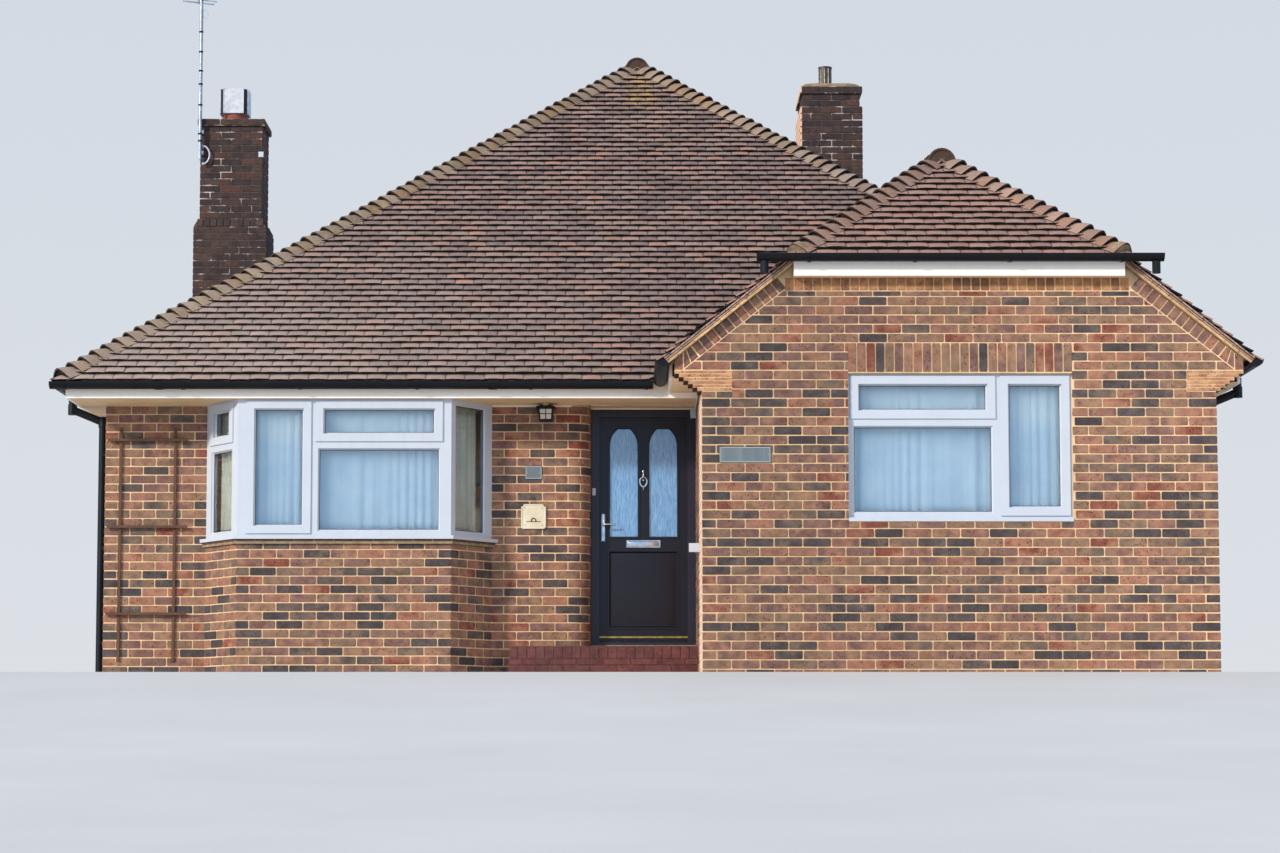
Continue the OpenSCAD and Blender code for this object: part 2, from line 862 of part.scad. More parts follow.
module corbels() {
    color(clay_color) {
        corbel();
        translate([wing_x + x_right, 0, 0])
            mirror([1, 0, 0])
                corbel();
    }
}

module front_step() {
    color(clay_color)
        linear_extrude(step_h)
            difference() {
                union() {
                    translate([bay_right + step_gap, y_front - step_out])
                        square([wing_x - bay_right - step_gap, step_out]);
                    translate([door_x - corner_r, y_front - eps])
                        square([door_w + corner_r, door_set + eps]);
                }
                door_corner_plan();
            }
}

// A fascia board, up to the underside of the tiles
module fascia_board(low, high, up = 0) {
    block([low[0], low[1], soffit_z + up], [high[0], high[1], eave_z - drip_t]);
}

module fascias() {
    color(white) {
        difference() {
            fascia_board([-fascia_x, fascia_front + fascia_t + joint_gap],
                         [-fascia_x + fascia_t, fascia_rear - fascia_t - joint_gap]);
            block([-far, stack_y - joint_gap, 0], [0, stack_y + left_stack_d + joint_gap, far]);
        }
        fascia_board([-fascia_x, fascia_front], [wing_x, fascia_front + fascia_t]);
        fascia_board([wing_fascia_x, corbel_back], [wing_fascia_x + fascia_t, fascia_front - joint_gap],
                     wing_soffit_up);
        fascia_board([fascia_x - fascia_t, corbel_back], [fascia_x, fascia_rear - fascia_t - joint_gap]);
        fascia_board([-fascia_x, fascia_rear - fascia_t], [fascia_x, fascia_rear]);
        block([half_hip_left, half_hip_fascia_y, half_hip_z - half_hip_fascia],
              [half_hip_right, half_hip_fascia_y + fascia_t, half_hip_z - drip_t]);
    }
}

module soffit_board(low, high) {
    block([low[0], low[1], soffit_z], [high[0], high[1], soffit_z + soffit_t]);
}

module soffits() {
    inner = fascia_x - fascia_t;
    front_in = fascia_front + fascia_t;
    rear_in = fascia_rear - fascia_t;
    color(white) {
        soffit_board([-inner, front_in], [wing_x, y_front]);
        translate([0, 0, wing_soffit_up])
            soffit_board([wing_fascia_x + fascia_t, corbel_back], [wing_x, fascia_front - joint_gap]);
        difference() {
            soffit_board([-inner, y_front + joint_gap], [x_left, y_rear - joint_gap]);
            chimney_shafts();
        }
        soffit_board([x_right, corbel_back], [inner, y_rear - joint_gap]);
        soffit_board([-inner, y_rear], [inner, rear_in]);
        block([half_hip_left, half_hip_fascia_y + fascia_t, half_hip_z - half_hip_fascia],
              [half_hip_right, y_wing, half_hip_z - half_hip_fascia + soffit_t]);
    }
}

// A half-round gutter along X with closed ends; its back touches the fascia at y = 0
module gutter(length) {
    translate([0, -gutter_r, 0])
        rotate([90, 0, 90])
            difference() {
                linear_extrude(length)
                    half_round(gutter_r);
                translate([0, 0, gutter_t])
                    linear_extrude(length - 2 * gutter_t)
                        half_round(gutter_r - gutter_t);
            }
}

module half_round(r) {
    intersection() {
        circle(r);
        translate([-r, -r])
            square([2 * r, r]);
    }
}

module gutters() {
    width = 2 * gutter_r;
    left_front_l = stack_y - joint_gap - fascia_front;
    left_rear_l = fascia_rear - stack_y - left_stack_d - joint_gap;
    color(black) {
        translate([-fascia_x - width, fascia_front, main_gutter_z])
            gutter(wing_fascia_x + fascia_x - joint_gap);
        translate([wing_fascia_x, fascia_front, gutter_z])
            rotate([0, 0, -90])
                gutter(fascia_front - verge_y);
        translate([-fascia_x, stack_y - joint_gap, main_gutter_z])
            rotate([0, 0, -90])
                gutter(left_front_l - joint_gap);
        translate([-fascia_x, fascia_rear - joint_gap, main_gutter_z])
            rotate([0, 0, -90])
                gutter(left_rear_l - joint_gap);
        translate([fascia_x, verge_y, gutter_z])
            rotate([0, 0, 90])
                gutter(fascia_rear - joint_gap - verge_y);
        translate([fascia_x + width, fascia_rear, main_gutter_z])
            rotate([0, 0, 180])
                gutter(2 * (fascia_x + width));
        translate([half_hip_left - half_hip_gutter_past, half_hip_fascia_y, half_hip_gutter_z])
            gutter(half_hip_right - half_hip_left + 2 * half_hip_gutter_past);
        for (x = [half_hip_left - half_hip_gutter_past + gutter_r,
                  half_hip_right + half_hip_gutter_past - gutter_r])
            translate([x, half_hip_fascia_y - gutter_r, half_hip_gutter_z - gutter_r - spout_l])
                cylinder(r = pipe_r, h = spout_l + gutter_t / 2, $fn = pipe_sides);
    }
}

// A straight length of pipe from a point, leaning outwards by an angle
module pipe(x, z, length, lean) {
    translate([x, 0, z])
        rotate([0, lean, 0])
            cylinder(r = pipe_r, h = length, $fn = pipe_sides);
}

// A socket round a bend
module pipe_socket(x, z) {
    translate([x, 0, z - socket_h / 2])
        cylinder(r = pipe_r + clip_t, h = socket_h, $fn = pipe_sides);
}

// A downpipe on the right side: an outlet under the gutter, an offset back to the wall
// and the long drop, held by clips
module downpipe(y, rim_z) {
    outer = fascia_x + gutter_r;
    inner = x_right + pipe_gap + pipe_r;
    top = rim_z - gutter_r;
    knee = soffit_z - pipe_knee;
    low = knee - (outer - inner) / tan(pipe_turn);
    translate([0, y, 0]) {
        pipe(outer, knee, top - knee, 0);
        pipe(inner, low, (outer - inner) / sin(pipe_turn), pipe_turn);
        pipe(inner, 0, low, 0);
        pipe_socket(outer, knee);
        pipe_socket(inner, low);
        for (z = [floor_h, low / 2, low - floor_h])
            translate([x_right, -pipe_r - clip_t, z])
                cube([pipe_gap + pipe_r, 2 * (pipe_r + clip_t), clip_h]);
    }
}

module downpipes() {
    color(black) {
        downpipe(y_wing + wing_pipe_back, gutter_z);
        mirror([1, 0, 0])
            downpipe(y_front + main_pipe_back, main_gutter_z);
    }
}

// A box whose sides lean in towards its top
module tapered(low, high, lean) {
    intersection() {
        translate([0, high[1], 0])
            rotate([90, 0, 0])
                linear_extrude(high[1] - low[1])
                    polygon([[low[0], low[2]], [high[0], low[2]],
                             [high[0] - lean[0], high[2]], [low[0] + lean[0], high[2]]]);
        translate([low[0], 0, 0])
            rotate([90, 0, 90])
                linear_extrude(high[0] - low[0])
                    polygon([[low[1], low[2]], [high[1], low[2]],
                             [high[1] - lean[1], high[2]], [low[1] + lean[1], high[2]]]);
    }
}

module left_chimney() {
    low = [left_stack_x, stack_y, 0];
    high = [left_stack_x + left_stack_w, stack_y + left_stack_d, shoulder_z];
    neck_z = shoulder_z + shoulder_h;
    lean = [(left_stack_w - left_neck_w) / 2, (left_stack_d - left_neck_d) / 2];
    color(brick_color) {
        block(low, high);
        tapered([low[0], low[1], shoulder_z - eps], [high[0], high[1], neck_z], lean);
        block([left_neck_x, left_neck_y, neck_z - eps],
              [left_neck_x + left_neck_w, left_neck_y + left_neck_d, left_stack_top]);
        block([left_neck_x - oversail, left_neck_y - oversail, left_stack_top - course],
              [left_neck_x + left_neck_w + oversail, left_neck_y + left_neck_d + oversail, left_stack_top]);
    }
}

module left_chimney_pot() {
    mid = [left_stack_x + left_stack_w / 2, stack_y + left_stack_d / 2, left_stack_top];
    translate(mid) {
        color(clay_color)
            difference() {
                cylinder(r = pot_r, h = pot_h);
                translate([0, 0, pot_h / 2])
                    cylinder(r = pot_r - pot_t, h = pot_h);
            }
        color(metal_color)
            translate([0, 0, pot_h])
                linear_extrude(cowl_h)
                    difference() {
                        cowl_plan(0);
                        cowl_plan(cowl_t);
                    }
    }
}

// The cowl on plan: four wind plates that stand proud of its corners, set in by a thickness
module cowl_plan(inset) {
    for (size = [[cowl_w, cowl_plate_w], [cowl_plate_w, cowl_w]])
        square(size - 2 * [inset, inset], center = true);
}

module right_chimney() {
    low = [right_stack_x, stack_y];
    high = [right_stack_x + right_stack_w, stack_y + right_stack_d];
    neck_top = right_stack_top + neck_courses * course;
    color(brick_color) {
        block([low[0], low[1], 0], [high[0], high[1], right_stack_top]);
        block([low[0] + oversail, low[1] + oversail, right_stack_top - eps],
              [high[0] - oversail, high[1] - oversail, neck_top]);
        block([low[0], low[1], neck_top - eps], [high[0], high[1], neck_top + course]);
    }
}

module right_flue() {
    foot = right_stack_top + (neck_courses + 1) * course;
    high = [right_stack_x + right_stack_w, stack_y + right_stack_d];
    mid = [right_stack_x + right_stack_w / 2 - flue_r / 2, stack_y + right_stack_d / 2];
    spread = right_stack_w / 2 - 2 * flue_r;
    top = flaunch_h + flue_h;
    rim_z = top - flue_rim_h;
    color(mortar_color)
        tapered([right_stack_x + oversail, stack_y + oversail, foot],
                [high[0] - oversail, high[1] - oversail, foot + flaunch_h], [spread, spread]);
    color(metal_color)
        translate([mid[0], mid[1], foot])
            rotate_extrude()
                polygon([[0, 0], [flue_neck_r, 0], [flue_neck_r, flaunch_h + flue_neck_h],
                         [flue_r, flaunch_h + flue_neck_h], [flue_r, rim_z], [flue_r + flue_rim, rim_z],
                         [flue_r + flue_rim, top], [flue_neck_r, top], [flue_neck_r, rim_z], [0, rim_z]]);
}

// A mast strapped to the chimney with a boom and cross elements at its head
module tv_aerial() {
    back = oversail + mast_gap;
    pitch_l = boom_l / (elements - 1);
    color(metal_color)
        translate([left_neck_x, left_neck_y - back, 0]) {
            translate([0, 0, mast_foot])
                cylinder(r = mast_r, h = mast_top - mast_foot);
            for (z = [mast_foot + bracket_in, left_stack_top - course - bracket_in - bracket_h])
                block([0, 0, z], [2 * mast_r, back, z + bracket_h]);
            translate([0, 0, mast_top - boom_drop])
                rotate([0, 0, boom_turn]) {
                    block([-boom_t / 2, pitch_l - boom_l, 0], [boom_t / 2, pitch_l, boom_t]);
                    for (i = [0:elements - 1]) {
                        half = (element_l - i * element_step) / 2;
                        block([-half, pitch_l - i * pitch_l - element_t, (boom_t - element_t) / 2],
                              [half, pitch_l - i * pitch_l, (boom_t + element_t) / 2]);
                    }
                }
        }
}

// Windows lie in the XZ plane: their face at y = 0 and their depth along +Y.
// Each part of a window is [left, bottom, right, top]. A fixed part has its glass in the frame;
// a sash stands proud of the frame and holds the glass itself.
function inset(part, by) = [part[0] + by, part[1] + by, part[2] - by, part[3] - by];
function glazed(fixed, sashes) = concat([for (p = fixed) inset(p, frame_w)],
    [for (p = sashes) inset(p, sash_edge + sash_w)]);

module window_boxes(parts, y0, y1) {
    for (p = parts)
        block([p[0], y0, p[1]], [p[2], y1, p[3]]);
}

module window_sashes(sashes) {
    window_boxes([for (p = sashes) inset(p, sash_edge)], -sash_proud, eps);
}

module window_holes(fixed, sashes) {
    window_boxes(glazed(fixed, sashes), -sash_proud - eps, frame_d + eps);
}

module window_glass(fixed, sashes) {
    window_boxes(glazed(fixed, sashes), (frame_d - glass_t) / 2, (frame_d + glass_t) / 2);
}

module window_frame(w, h, fixed, sashes) {
    difference() {
        union() {
            cube([w, frame_d, h]);
            window_sashes(sashes);
        }
        window_holes(fixed, sashes);
    }
}

// A sill under a window, with its nose past the frame
module window_sill(w) {
    translate([0, -sill_out, -sill_h])
        cube([w, sill_out + frame_d, sill_h]);
}

wing_frame_h = wing_window_h - sill_h;
wing_fixed = [[0, 0, wing_split, wing_frame_h - vent_h]];
wing_sashes = [[0, wing_frame_h - vent_h, wing_split, wing_frame_h],
               [wing_split, 0, wing_window_w, wing_frame_h]];

module in_wing_window() {
    translate([wing_x + wing_window_in, y_wing + frame_set, wing_window_z + sill_h])
        children();
}

module wing_window_frame() {
    color(white)
        in_wing_window() {
            window_frame(wing_window_w, wing_frame_h, wing_fixed, wing_sashes);
            window_sill(wing_window_w);
        }
}

module wing_window_glass() {
    color(glass_color)
        in_wing_window()
            window_glass(wing_fixed, wing_sashes);
}

bay_frame_h = soffit_z - bay_frame_z;
bay_vent_z = bay_frame_h - vent_h;
bay_fixed = [[bay_split, 0, bay_front_w - post_w, bay_vent_z]];
bay_sashes = [[post_w, 0, bay_split, bay_frame_h],
              [bay_split, bay_vent_z, bay_front_w - post_w, bay_frame_h]];
cant_low = [[cant_edge, 0, bay_cant_l - post_w, bay_vent_z]];
cant_vent = [[cant_edge, bay_vent_z, bay_cant_l - post_w, bay_frame_h]];
cant_full = [[slim_post_w, 0, bay_cant_l - cant_edge, bay_frame_h]];

module in_bay_front() {
    translate([bay_left + bay_side, bay_y, bay_frame_z])
        children();
}

module in_bay_left() {
    translate([bay_left, y_front, bay_frame_z])
        rotate([0, 0, -bay_cant])
            children();
}

module in_bay_right() {
    translate([bay_right - bay_side, bay_y, bay_frame_z])
        rotate([0, 0, bay_cant])
            children();
}

module bay_window_frame() {
    color(white)
        difference() {
            union() {
                bay_band(0, frame_d, bay_frame_z, bay_frame_h);
                bay_band(sill_out, frame_d, bay_frame_z - sill_h, sill_h);
                in_bay_front()
                    window_sashes(bay_sashes);
                in_bay_left()
                    window_sashes(cant_vent);
            }
            in_bay_front()
                window_holes(bay_fixed, bay_sashes);
            in_bay_left()
                window_holes(cant_low, cant_vent);
            in_bay_right()
                window_holes(cant_full, []);
        }
}

module bay_window_glass() {
    color(glass_color) {
        in_bay_front()
            window_glass(bay_fixed, bay_sashes);
        in_bay_left()
            window_glass(cant_low, cant_vent);
        in_bay_right()
            window_glass(cant_full, []);
    }
}

rear_frame_h = rear_window_h - sill_h;
rear_fixed = [[0, 0, rear_window_w / 2, rear_frame_h]];
rear_sashes = [[rear_window_w / 2, 0, rear_window_w, rear_frame_h]];

// Places one window in each rear and side opening
module in_rear_openings() {
    z = rear_window_z + sill_h;
    for (x = rear_window_xs)
        translate([x + rear_window_w / 2, y_rear - frame_set, z])
            rotate([0, 0, 180])
                children();
    for (y = side_window_ys) {
        translate([x_left + frame_set, y + rear_window_w / 2, z])
            rotate([0, 0, -90])
                children();
        translate([x_right - frame_set, y - rear_window_w / 2, z])
            rotate([0, 0, 90])
                children();
    }
}

module rear_window_frames() {
    color(white)
        in_rear_openings() {
            window_frame(rear_window_w, rear_frame_h, rear_fixed, rear_sashes);
            window_sill(rear_window_w);
        }
}

module rear_window_glass() {
    color(glass_color)
        in_rear_openings()
            window_glass(rear_fixed, rear_sashes);
}

module net_curtains() {
    window_x = wing_x + wing_window_in;
    behind = y_wing + frame_set + frame_d;
    color(net_color) {
        block([window_x, behind + curtain_gap, wing_window_z + sill_h],
              [window_x + wing_window_w, behind + curtain_gap + curtain_t, wing_window_z + wing_window_h]);
        bay_band(-frame_d - curtain_gap, frame_d + curtain_gap + curtain_t, bay_frame_z, bay_frame_h);
    }
}

module door_frame() {
    open_w = door_w - 2 * door_frame_w;
    color(door_color) {
        difference() {
            block([door_x, door_y, floor_h], [wing_x, y_front + wall_t, door_top]);
            block([leaf_x, door_y + door_stop, floor_h + threshold_h],
                  [leaf_x + open_w, y_front + wall_t + eps, door_top - door_frame_w]);
            block([leaf_x + door_lip + door_gap, door_y - eps, floor_h + threshold_h],
                  [leaf_x + open_w - door_lip - door_gap, door_y + door_stop + eps,
                   door_top - door_frame_w - door_lip - door_gap]);
        }
        for (z = hinge_zs)
            hinge_half(z + hinge_l / 2 + eps, 1, y_front + wall_t);
    }
}

// One light: straight sides, a flat top and curved shoulders, grown all round by a margin
module light_plan(w, h, grow) {
    r = (shoulder_rise * shoulder_rise + shoulder_run * shoulder_run) / (2 * shoulder_run);
    foot = h - shoulder_rise;
    turn = asin((shoulder_rise + grow) / (r + grow)) / shoulder_steps;
    arc = [for (i = [0:shoulder_steps]) (r + grow) * [cos(i * turn), sin(i * turn)]];
    right = [for (p = arc) [w - r + p[0], foot + p[1]]];
    left = [for (i = [shoulder_steps:-1:0]) [r - arc[i][0], foot + arc[i][1]]];
    polygon(concat([[-grow, -grow], [w + grow, -grow]], right, left));
}

light_left = leaf_left + (leaf_w - 2 * light_w - muntin_w) / 2;
light_xs = [light_left, light_left + light_w + muntin_w];

module lights(y0, y1, grow) {
    for (x = light_xs)
        translate([x, y1, leaf_z + light_z])
            rotate([90, 0, 0])
                linear_extrude(y1 - y0)
                    light_plan(light_w, light_h, grow);
}

module front_door() {
    low = [light_left, leaf_z + panel_z];
    high = [light_left + 2 * light_w + muntin_w, low[1] + panel_h];
    color(door_color)
        difference() {
            union() {
                block([leaf_left, leaf_y, leaf_z], [leaf_left + leaf_w, leaf_y + leaf_t, leaf_z + leaf_h]);
                lights(leaf_y - bead_t, leaf_y + eps, bead_w);
                block([low[0] - bead_w, leaf_y - bead_t, low[1] - bead_w],
                      [high[0] + bead_w, leaf_y + eps, high[1] + bead_w]);
                for (z = hinge_zs)
                    hinge_half(z, -1, leaf_y + leaf_t);
            }
            lights(leaf_y - bead_t - eps, leaf_y + leaf_t + eps, 0);
            block([low[0], leaf_y - bead_t - eps, low[1]], [high[0], leaf_y + panel_in, high[1]]);
        }
}

hinge_zs = [leaf_z + hinge_in - hinge_l / 2, leaf_z + leaf_h / 2 - hinge_l / 2,
            leaf_z + leaf_h - hinge_in - hinge_l / 2];

// Half of a hinge: its barrel and the plate that joins it to the leaf or to the frame
module hinge_half(z, side, face) {
    plate = hinge_x + side * hinge_w;
    translate([hinge_x, hinge_y, z])
        cylinder(r = hinge_r, h = hinge_l / 2 - eps);
    block([min(hinge_x, plate), face - eps, z],
          [max(hinge_x, plate), hinge_y - hinge_r / 2, z + hinge_l / 2 - eps]);
}

module door_glass() {
    side = (leaf_t - glass_t) / 2;
    color(glass_color)
        lights(leaf_y + side, leaf_y + leaf_t - side, 0);
}

// A handle plate and its lever on a face of the leaf, pointing out along y
module lever_handle(face, out) {
    x = leaf_left + handle_in;
    z = leaf_z + handle_z;
    y = face + out * (plate_t + lever_out);
    block([x - handle_plate_w / 2, min(face, face + out * plate_t), z - handle_plate_low],
          [x + handle_plate_w / 2, max(face, face + out * plate_t), z - handle_plate_low + handle_plate_h]);
    block([x - lever_t / 2, min(face, y), z - lever_t / 2], [x + lever_t / 2, max(face, y), z + lever_t / 2]);
    block([x - lever_t / 2, min(y, y + out * lever_t), z - lever_t / 2],
          [x + lever_l - lever_t / 2, max(y, y + out * lever_t), z + lever_t / 2]);
}

// Lever handles inside and out, letterplate and knocker
module door_furniture() {
    mid = light_left + light_w + muntin_w / 2;
    letter_top = leaf_z + light_z - letter_gap;
    color(metal_color) {
        lever_handle(leaf_y, -1);
        lever_handle(leaf_y + leaf_t, 1);
        block([mid - letter_w / 2, leaf_y - plate_t, letter_top - letter_h],
              [mid + letter_w / 2, leaf_y, letter_top]);
        translate([mid, leaf_y, leaf_z + light_z + knocker_z])
            rotate([90, 0, 0])
                cylinder(r = knocker_r, h = knocker_out);
    }
}

module porch_lantern() {
    x = wing_x - lantern_x;
    y = y_front - lantern_gap - lantern_w / 2;
    top = soffit_z - lantern_drop;
    cap_z = top - lantern_cap_h;
    color(black) {
        translate([x, y, 0])
            mirror([0, 0, 1])
                tapered([-lantern_w / 2, -lantern_w / 2, -cap_z],
                        [lantern_w / 2, lantern_w / 2, lantern_h - top], [lantern_taper, lantern_taper]);
        block([x - lantern_cap_w / 2, y - lantern_cap_w / 2, cap_z - eps],
              [x + lantern_cap_w / 2, y + lantern_cap_w / 2, top]);
        block([x - lantern_arm / 2, y, cap_z - lantern_cap_h], [x + lantern_arm / 2, y_front, cap_z - eps]);
    }
}

// A plate on a wall: its left side, the wall's face, its underside, width, height and thickness
module wall_plate(x, y, z, w, h, t) {
    block([x, y - t, z], [x + w, y, z + h]);
}

module wall_plates() {
    color(slate_color) {
        wall_plate(door_x - number_in, y_front, number_z, number_w, number_h, sign_t);
        wall_plate(wing_x + name_in, y_wing, name_z, name_w, name_h, sign_t);
    }
}

module wall_plaque() {
    color(plaque_color)
        wall_plate(door_x - plaque_in, y_front, plaque_z, plaque_w, plaque_w, plaque_t);
}

// Key safe and sensor on the left wall of the wing, and the bell push on the door frame
module wall_boxes() {
    mid = (y_wing + y_front) / 2;
    bell_x = door_x + (door_frame_w - bell_w) / 2;
    color(plaque_color) {
        block([wing_x - key_safe_out, mid - key_safe_w / 2, key_safe_z],
              [wing_x, mid + key_safe_w / 2, key_safe_z + key_safe_w]);
        block([wing_x - sensor_w, door_y - sensor_w - joint_gap, door_top - joint_gap - sensor_h],
              [wing_x, door_y - joint_gap, door_top - joint_gap]);
        block([bell_x, door_y - sign_t, bell_z], [bell_x + bell_w, door_y, bell_z + bell_h]);
    }
}

// Uprights and rails of square laths, standing against the wall left of the bay
module trellis() {
    left = x_left + trellis_in;
    color(wood_color) {
        for (x = [left, left + trellis_w])
            block([x, y_front - lath, trellis_foot], [x + lath, y_front, trellis_top]);
        for (z = [trellis_top - rail_drop - lath:-rail_step:trellis_foot])
            block([left - trellis_past, y_front - 2 * lath, z],
                  [left + trellis_w + lath + trellis_past, y_front - lath + eps, z + lath]);
    }
}

floor_slab();
ceiling();
front_step();
left_wall();
right_wall();
rear_wall();
front_wall_left();
front_wall_right();
bay_wall();
bay_sill();
lintels();
wing_front_wall();
wing_left_wall();
corbels();
roof_front();
roof_left();
roof_right();
roof_rear();
wing_roof_left();
wing_half_hip();
ridge_tiles();
hip_tiles();
fascias();
soffits();
gutters();
downpipes();
left_chimney();
left_chimney_pot();
tv_aerial();
right_chimney();
right_flue();
bay_window_frame();
bay_window_glass();
wing_window_frame();
wing_window_glass();
rear_window_frames();
rear_window_glass();
net_curtains();
door_frame();
front_door();
door_glass();
door_furniture();
porch_lantern();
wall_plates();
wall_plaque();
wall_boxes();
trellis();
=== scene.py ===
from math import atan2, ceil, cos, floor, hypot, pi, radians, sin, sqrt, tan

import bmesh
import bpy
import numpy as np
from mathutils import Euler, Matrix, Vector


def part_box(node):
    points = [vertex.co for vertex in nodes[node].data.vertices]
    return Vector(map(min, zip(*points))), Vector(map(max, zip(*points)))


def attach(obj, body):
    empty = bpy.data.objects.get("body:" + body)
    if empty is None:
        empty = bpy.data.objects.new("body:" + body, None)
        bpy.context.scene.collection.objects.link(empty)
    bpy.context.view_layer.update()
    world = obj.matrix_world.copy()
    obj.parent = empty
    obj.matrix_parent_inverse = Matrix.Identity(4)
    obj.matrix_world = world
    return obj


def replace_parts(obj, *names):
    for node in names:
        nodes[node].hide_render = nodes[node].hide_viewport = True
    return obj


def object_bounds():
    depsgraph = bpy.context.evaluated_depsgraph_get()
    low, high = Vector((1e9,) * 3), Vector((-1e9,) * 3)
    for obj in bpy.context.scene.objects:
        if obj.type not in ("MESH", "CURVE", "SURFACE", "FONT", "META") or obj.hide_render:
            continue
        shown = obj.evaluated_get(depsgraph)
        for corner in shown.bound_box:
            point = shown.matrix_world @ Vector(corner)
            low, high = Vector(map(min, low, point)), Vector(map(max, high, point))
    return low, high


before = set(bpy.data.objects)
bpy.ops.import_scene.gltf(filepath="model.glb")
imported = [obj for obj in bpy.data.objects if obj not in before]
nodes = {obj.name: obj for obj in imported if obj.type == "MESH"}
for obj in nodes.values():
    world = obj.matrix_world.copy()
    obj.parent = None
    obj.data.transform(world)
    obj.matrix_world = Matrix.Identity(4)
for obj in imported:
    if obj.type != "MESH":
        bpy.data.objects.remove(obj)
cad_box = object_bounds()
dice = np.random.default_rng(11)

# Camera

bpy.context.scene.view_settings.view_transform = "Standard"
camera_data = bpy.data.cameras.new("camera")
camera_data.sensor_width = 36
camera_data.lens = 77.98
camera_data.shift_x = 0.0152
camera_data.shift_y = 0.08
camera_data.clip_end = 400
camera = bpy.data.objects.new("camera", camera_data)
camera.location = (-0.17, -29.2, -0.644)
camera.rotation_euler = (radians(90 + 4.65), 0, 0)
bpy.context.scene.collection.objects.link(camera)
bpy.context.scene.camera = camera


# Shading

class Shades:
    """Builds a node tree from short lines; a value may be a number, a colour or another node's socket."""

    def __init__(self, tree):
        self.tree = tree

    def put(self, kind, out=0, settings=(), **values):
        node = self.tree.nodes.new("ShaderNode" + kind)
        for name, value in settings:
            setattr(node, name, value)
        for name, value in values.items():
            key = int(name[1:]) if name[0] == "i" and name[1:].isdigit() else name.replace("_", " ")
            self.feed(node.inputs[key], value)
        return node.outputs[out] if out is not None else node

    def feed(self, socket, value):
        if isinstance(value, bpy.types.NodeSocket):
            self.tree.links.new(value, socket)
        else:
            socket.default_value = value

    def place(self):
        return self.put("TexCoord", "Object")

    def along(self, axis):
        """The place along one axis: 0, 1 or 2."""
        return self.put("SeparateXYZ", axis, i0=self.place())

    def noise(self, scale, detail=3, rough=0.55, vector=None, out=0, distortion=0.0):
        return self.put("TexNoise", out, Vector=vector or self.place(), Scale=scale, Detail=detail,
                        Roughness=rough, Distortion=distortion)

    def stretch(self, x, y, z):
        return self.put("VectorMath", 0, [("operation", "MULTIPLY")], i0=self.place(), i1=(x, y, z))

    def math(self, operation, a, b=0.0, clamp=False):
        return self.put("Math", 0, [("operation", operation), ("use_clamp", clamp)], i0=a, i1=b)

    def times(self, a, b, clamp=False):
        return self.math("MULTIPLY", a, b, clamp)

    def away(self, value, middle):
        """How far a value is from a middle."""
        return self.math("ABSOLUTE", self.math("SUBTRACT", value, middle))

    def near(self, value, middle, half):
        """One within half of a middle, nothing past it."""
        return self.math("LESS_THAN", self.away(value, middle), half)

    def span(self, value, low, high, to_low=0.0, to_high=1.0):
        return self.put("MapRange", 0, [("clamp", True)], Value=value, From_Min=low, From_Max=high,
                        To_Min=to_low, To_Max=to_high)

    def mix(self, share, a, b, mode="MIX"):
        node = self.tree.nodes.new("ShaderNodeMix")
        node.data_type, node.blend_type = "RGBA", mode
        for i, value in ((0, share), (6, a), (7, b)):
            self.feed(node.inputs[i], value)
        return node.outputs[2]

    def ramp(self, value, stops, mode="LINEAR"):
        node = self.tree.nodes.new("ShaderNodeValToRGB")
        node.color_ramp.interpolation = mode
        marks = node.color_ramp.elements
        while len(marks) < len(stops):
            marks.new(0.5)
        for mark, (at, shade) in zip(marks, stops):
            mark.position, mark.color = at, shade
        self.feed(node.inputs[0], value)
        return node.outputs[0]

    def attribute(self, name):
        return self.put("Attribute", "Fac", [("attribute_name", name)])

    def bump(self, height, depth, strength=1.0, normal=None):
        more = {"Normal": normal} if normal else {}
        return self.put("Bump", 0, Height=height, Distance=depth, Strength=strength, **more)

    def group(self, tree, **values):
        node = self.tree.nodes.new("ShaderNodeGroup")
        node.node_tree = tree
        for name, value in values.items():
            self.feed(node.inputs[name.replace("_", " ")], value)
        return node.outputs


def srgb(red, green, blue):
    """A colour as a paint chart gives it, 0 to 255, for a shader."""
    return tuple((c / 255 / 12.92 if c <= 10 else ((c / 255 + 0.055) / 1.055) ** 2.4)
                 for c in (red, green, blue)) + (1.0,)


def effect(name, inputs, outputs, build):
    """A shader node group with named inputs and outputs; build(shades, given) returns the outputs."""
    tree = bpy.data.node_groups.new(name, "ShaderNodeTree")
    for label, kind, default in inputs:
        socket = tree.interface.new_socket(label, in_out="INPUT", socket_type="NodeSocket" + kind)
        socket.default_value = default
    for label, kind in outputs:
        tree.interface.new_socket(label, in_out="OUTPUT", socket_type="NodeSocket" + kind)
    given = tree.nodes.new("NodeGroupInput")
    made = tree.nodes.new("NodeGroupOutput")
    for socket, value in zip(made.inputs, build(Shades(tree), given.outputs)):
        tree.links.new(value, socket)
    return tree


def build_grime(s, given):
    """Cloudy dirt in two sizes."""
    cloud = s.noise(given["Scale"], 5, 0.62)
    fine = s.noise(s.times(given["Scale"], 9.0), 3, 0.6)
    mask = s.times(s.span(s.math("ADD", cloud, s.times(fine, 0.35)), 0.5, 0.95), given["Amount"], True)
    return s.mix(mask, given["Colour"], given["Dirt"]), mask


GRIME = effect("grime", [("Colour", "Color", (1, 1, 1, 1)), ("Dirt", "Color", (0, 0, 0, 1)),
                         ("Amount", "Float", 0.5), ("Scale", "Float", 2.0)],
               [("Colour", "Color"), ("Mask", "Float")], build_grime)


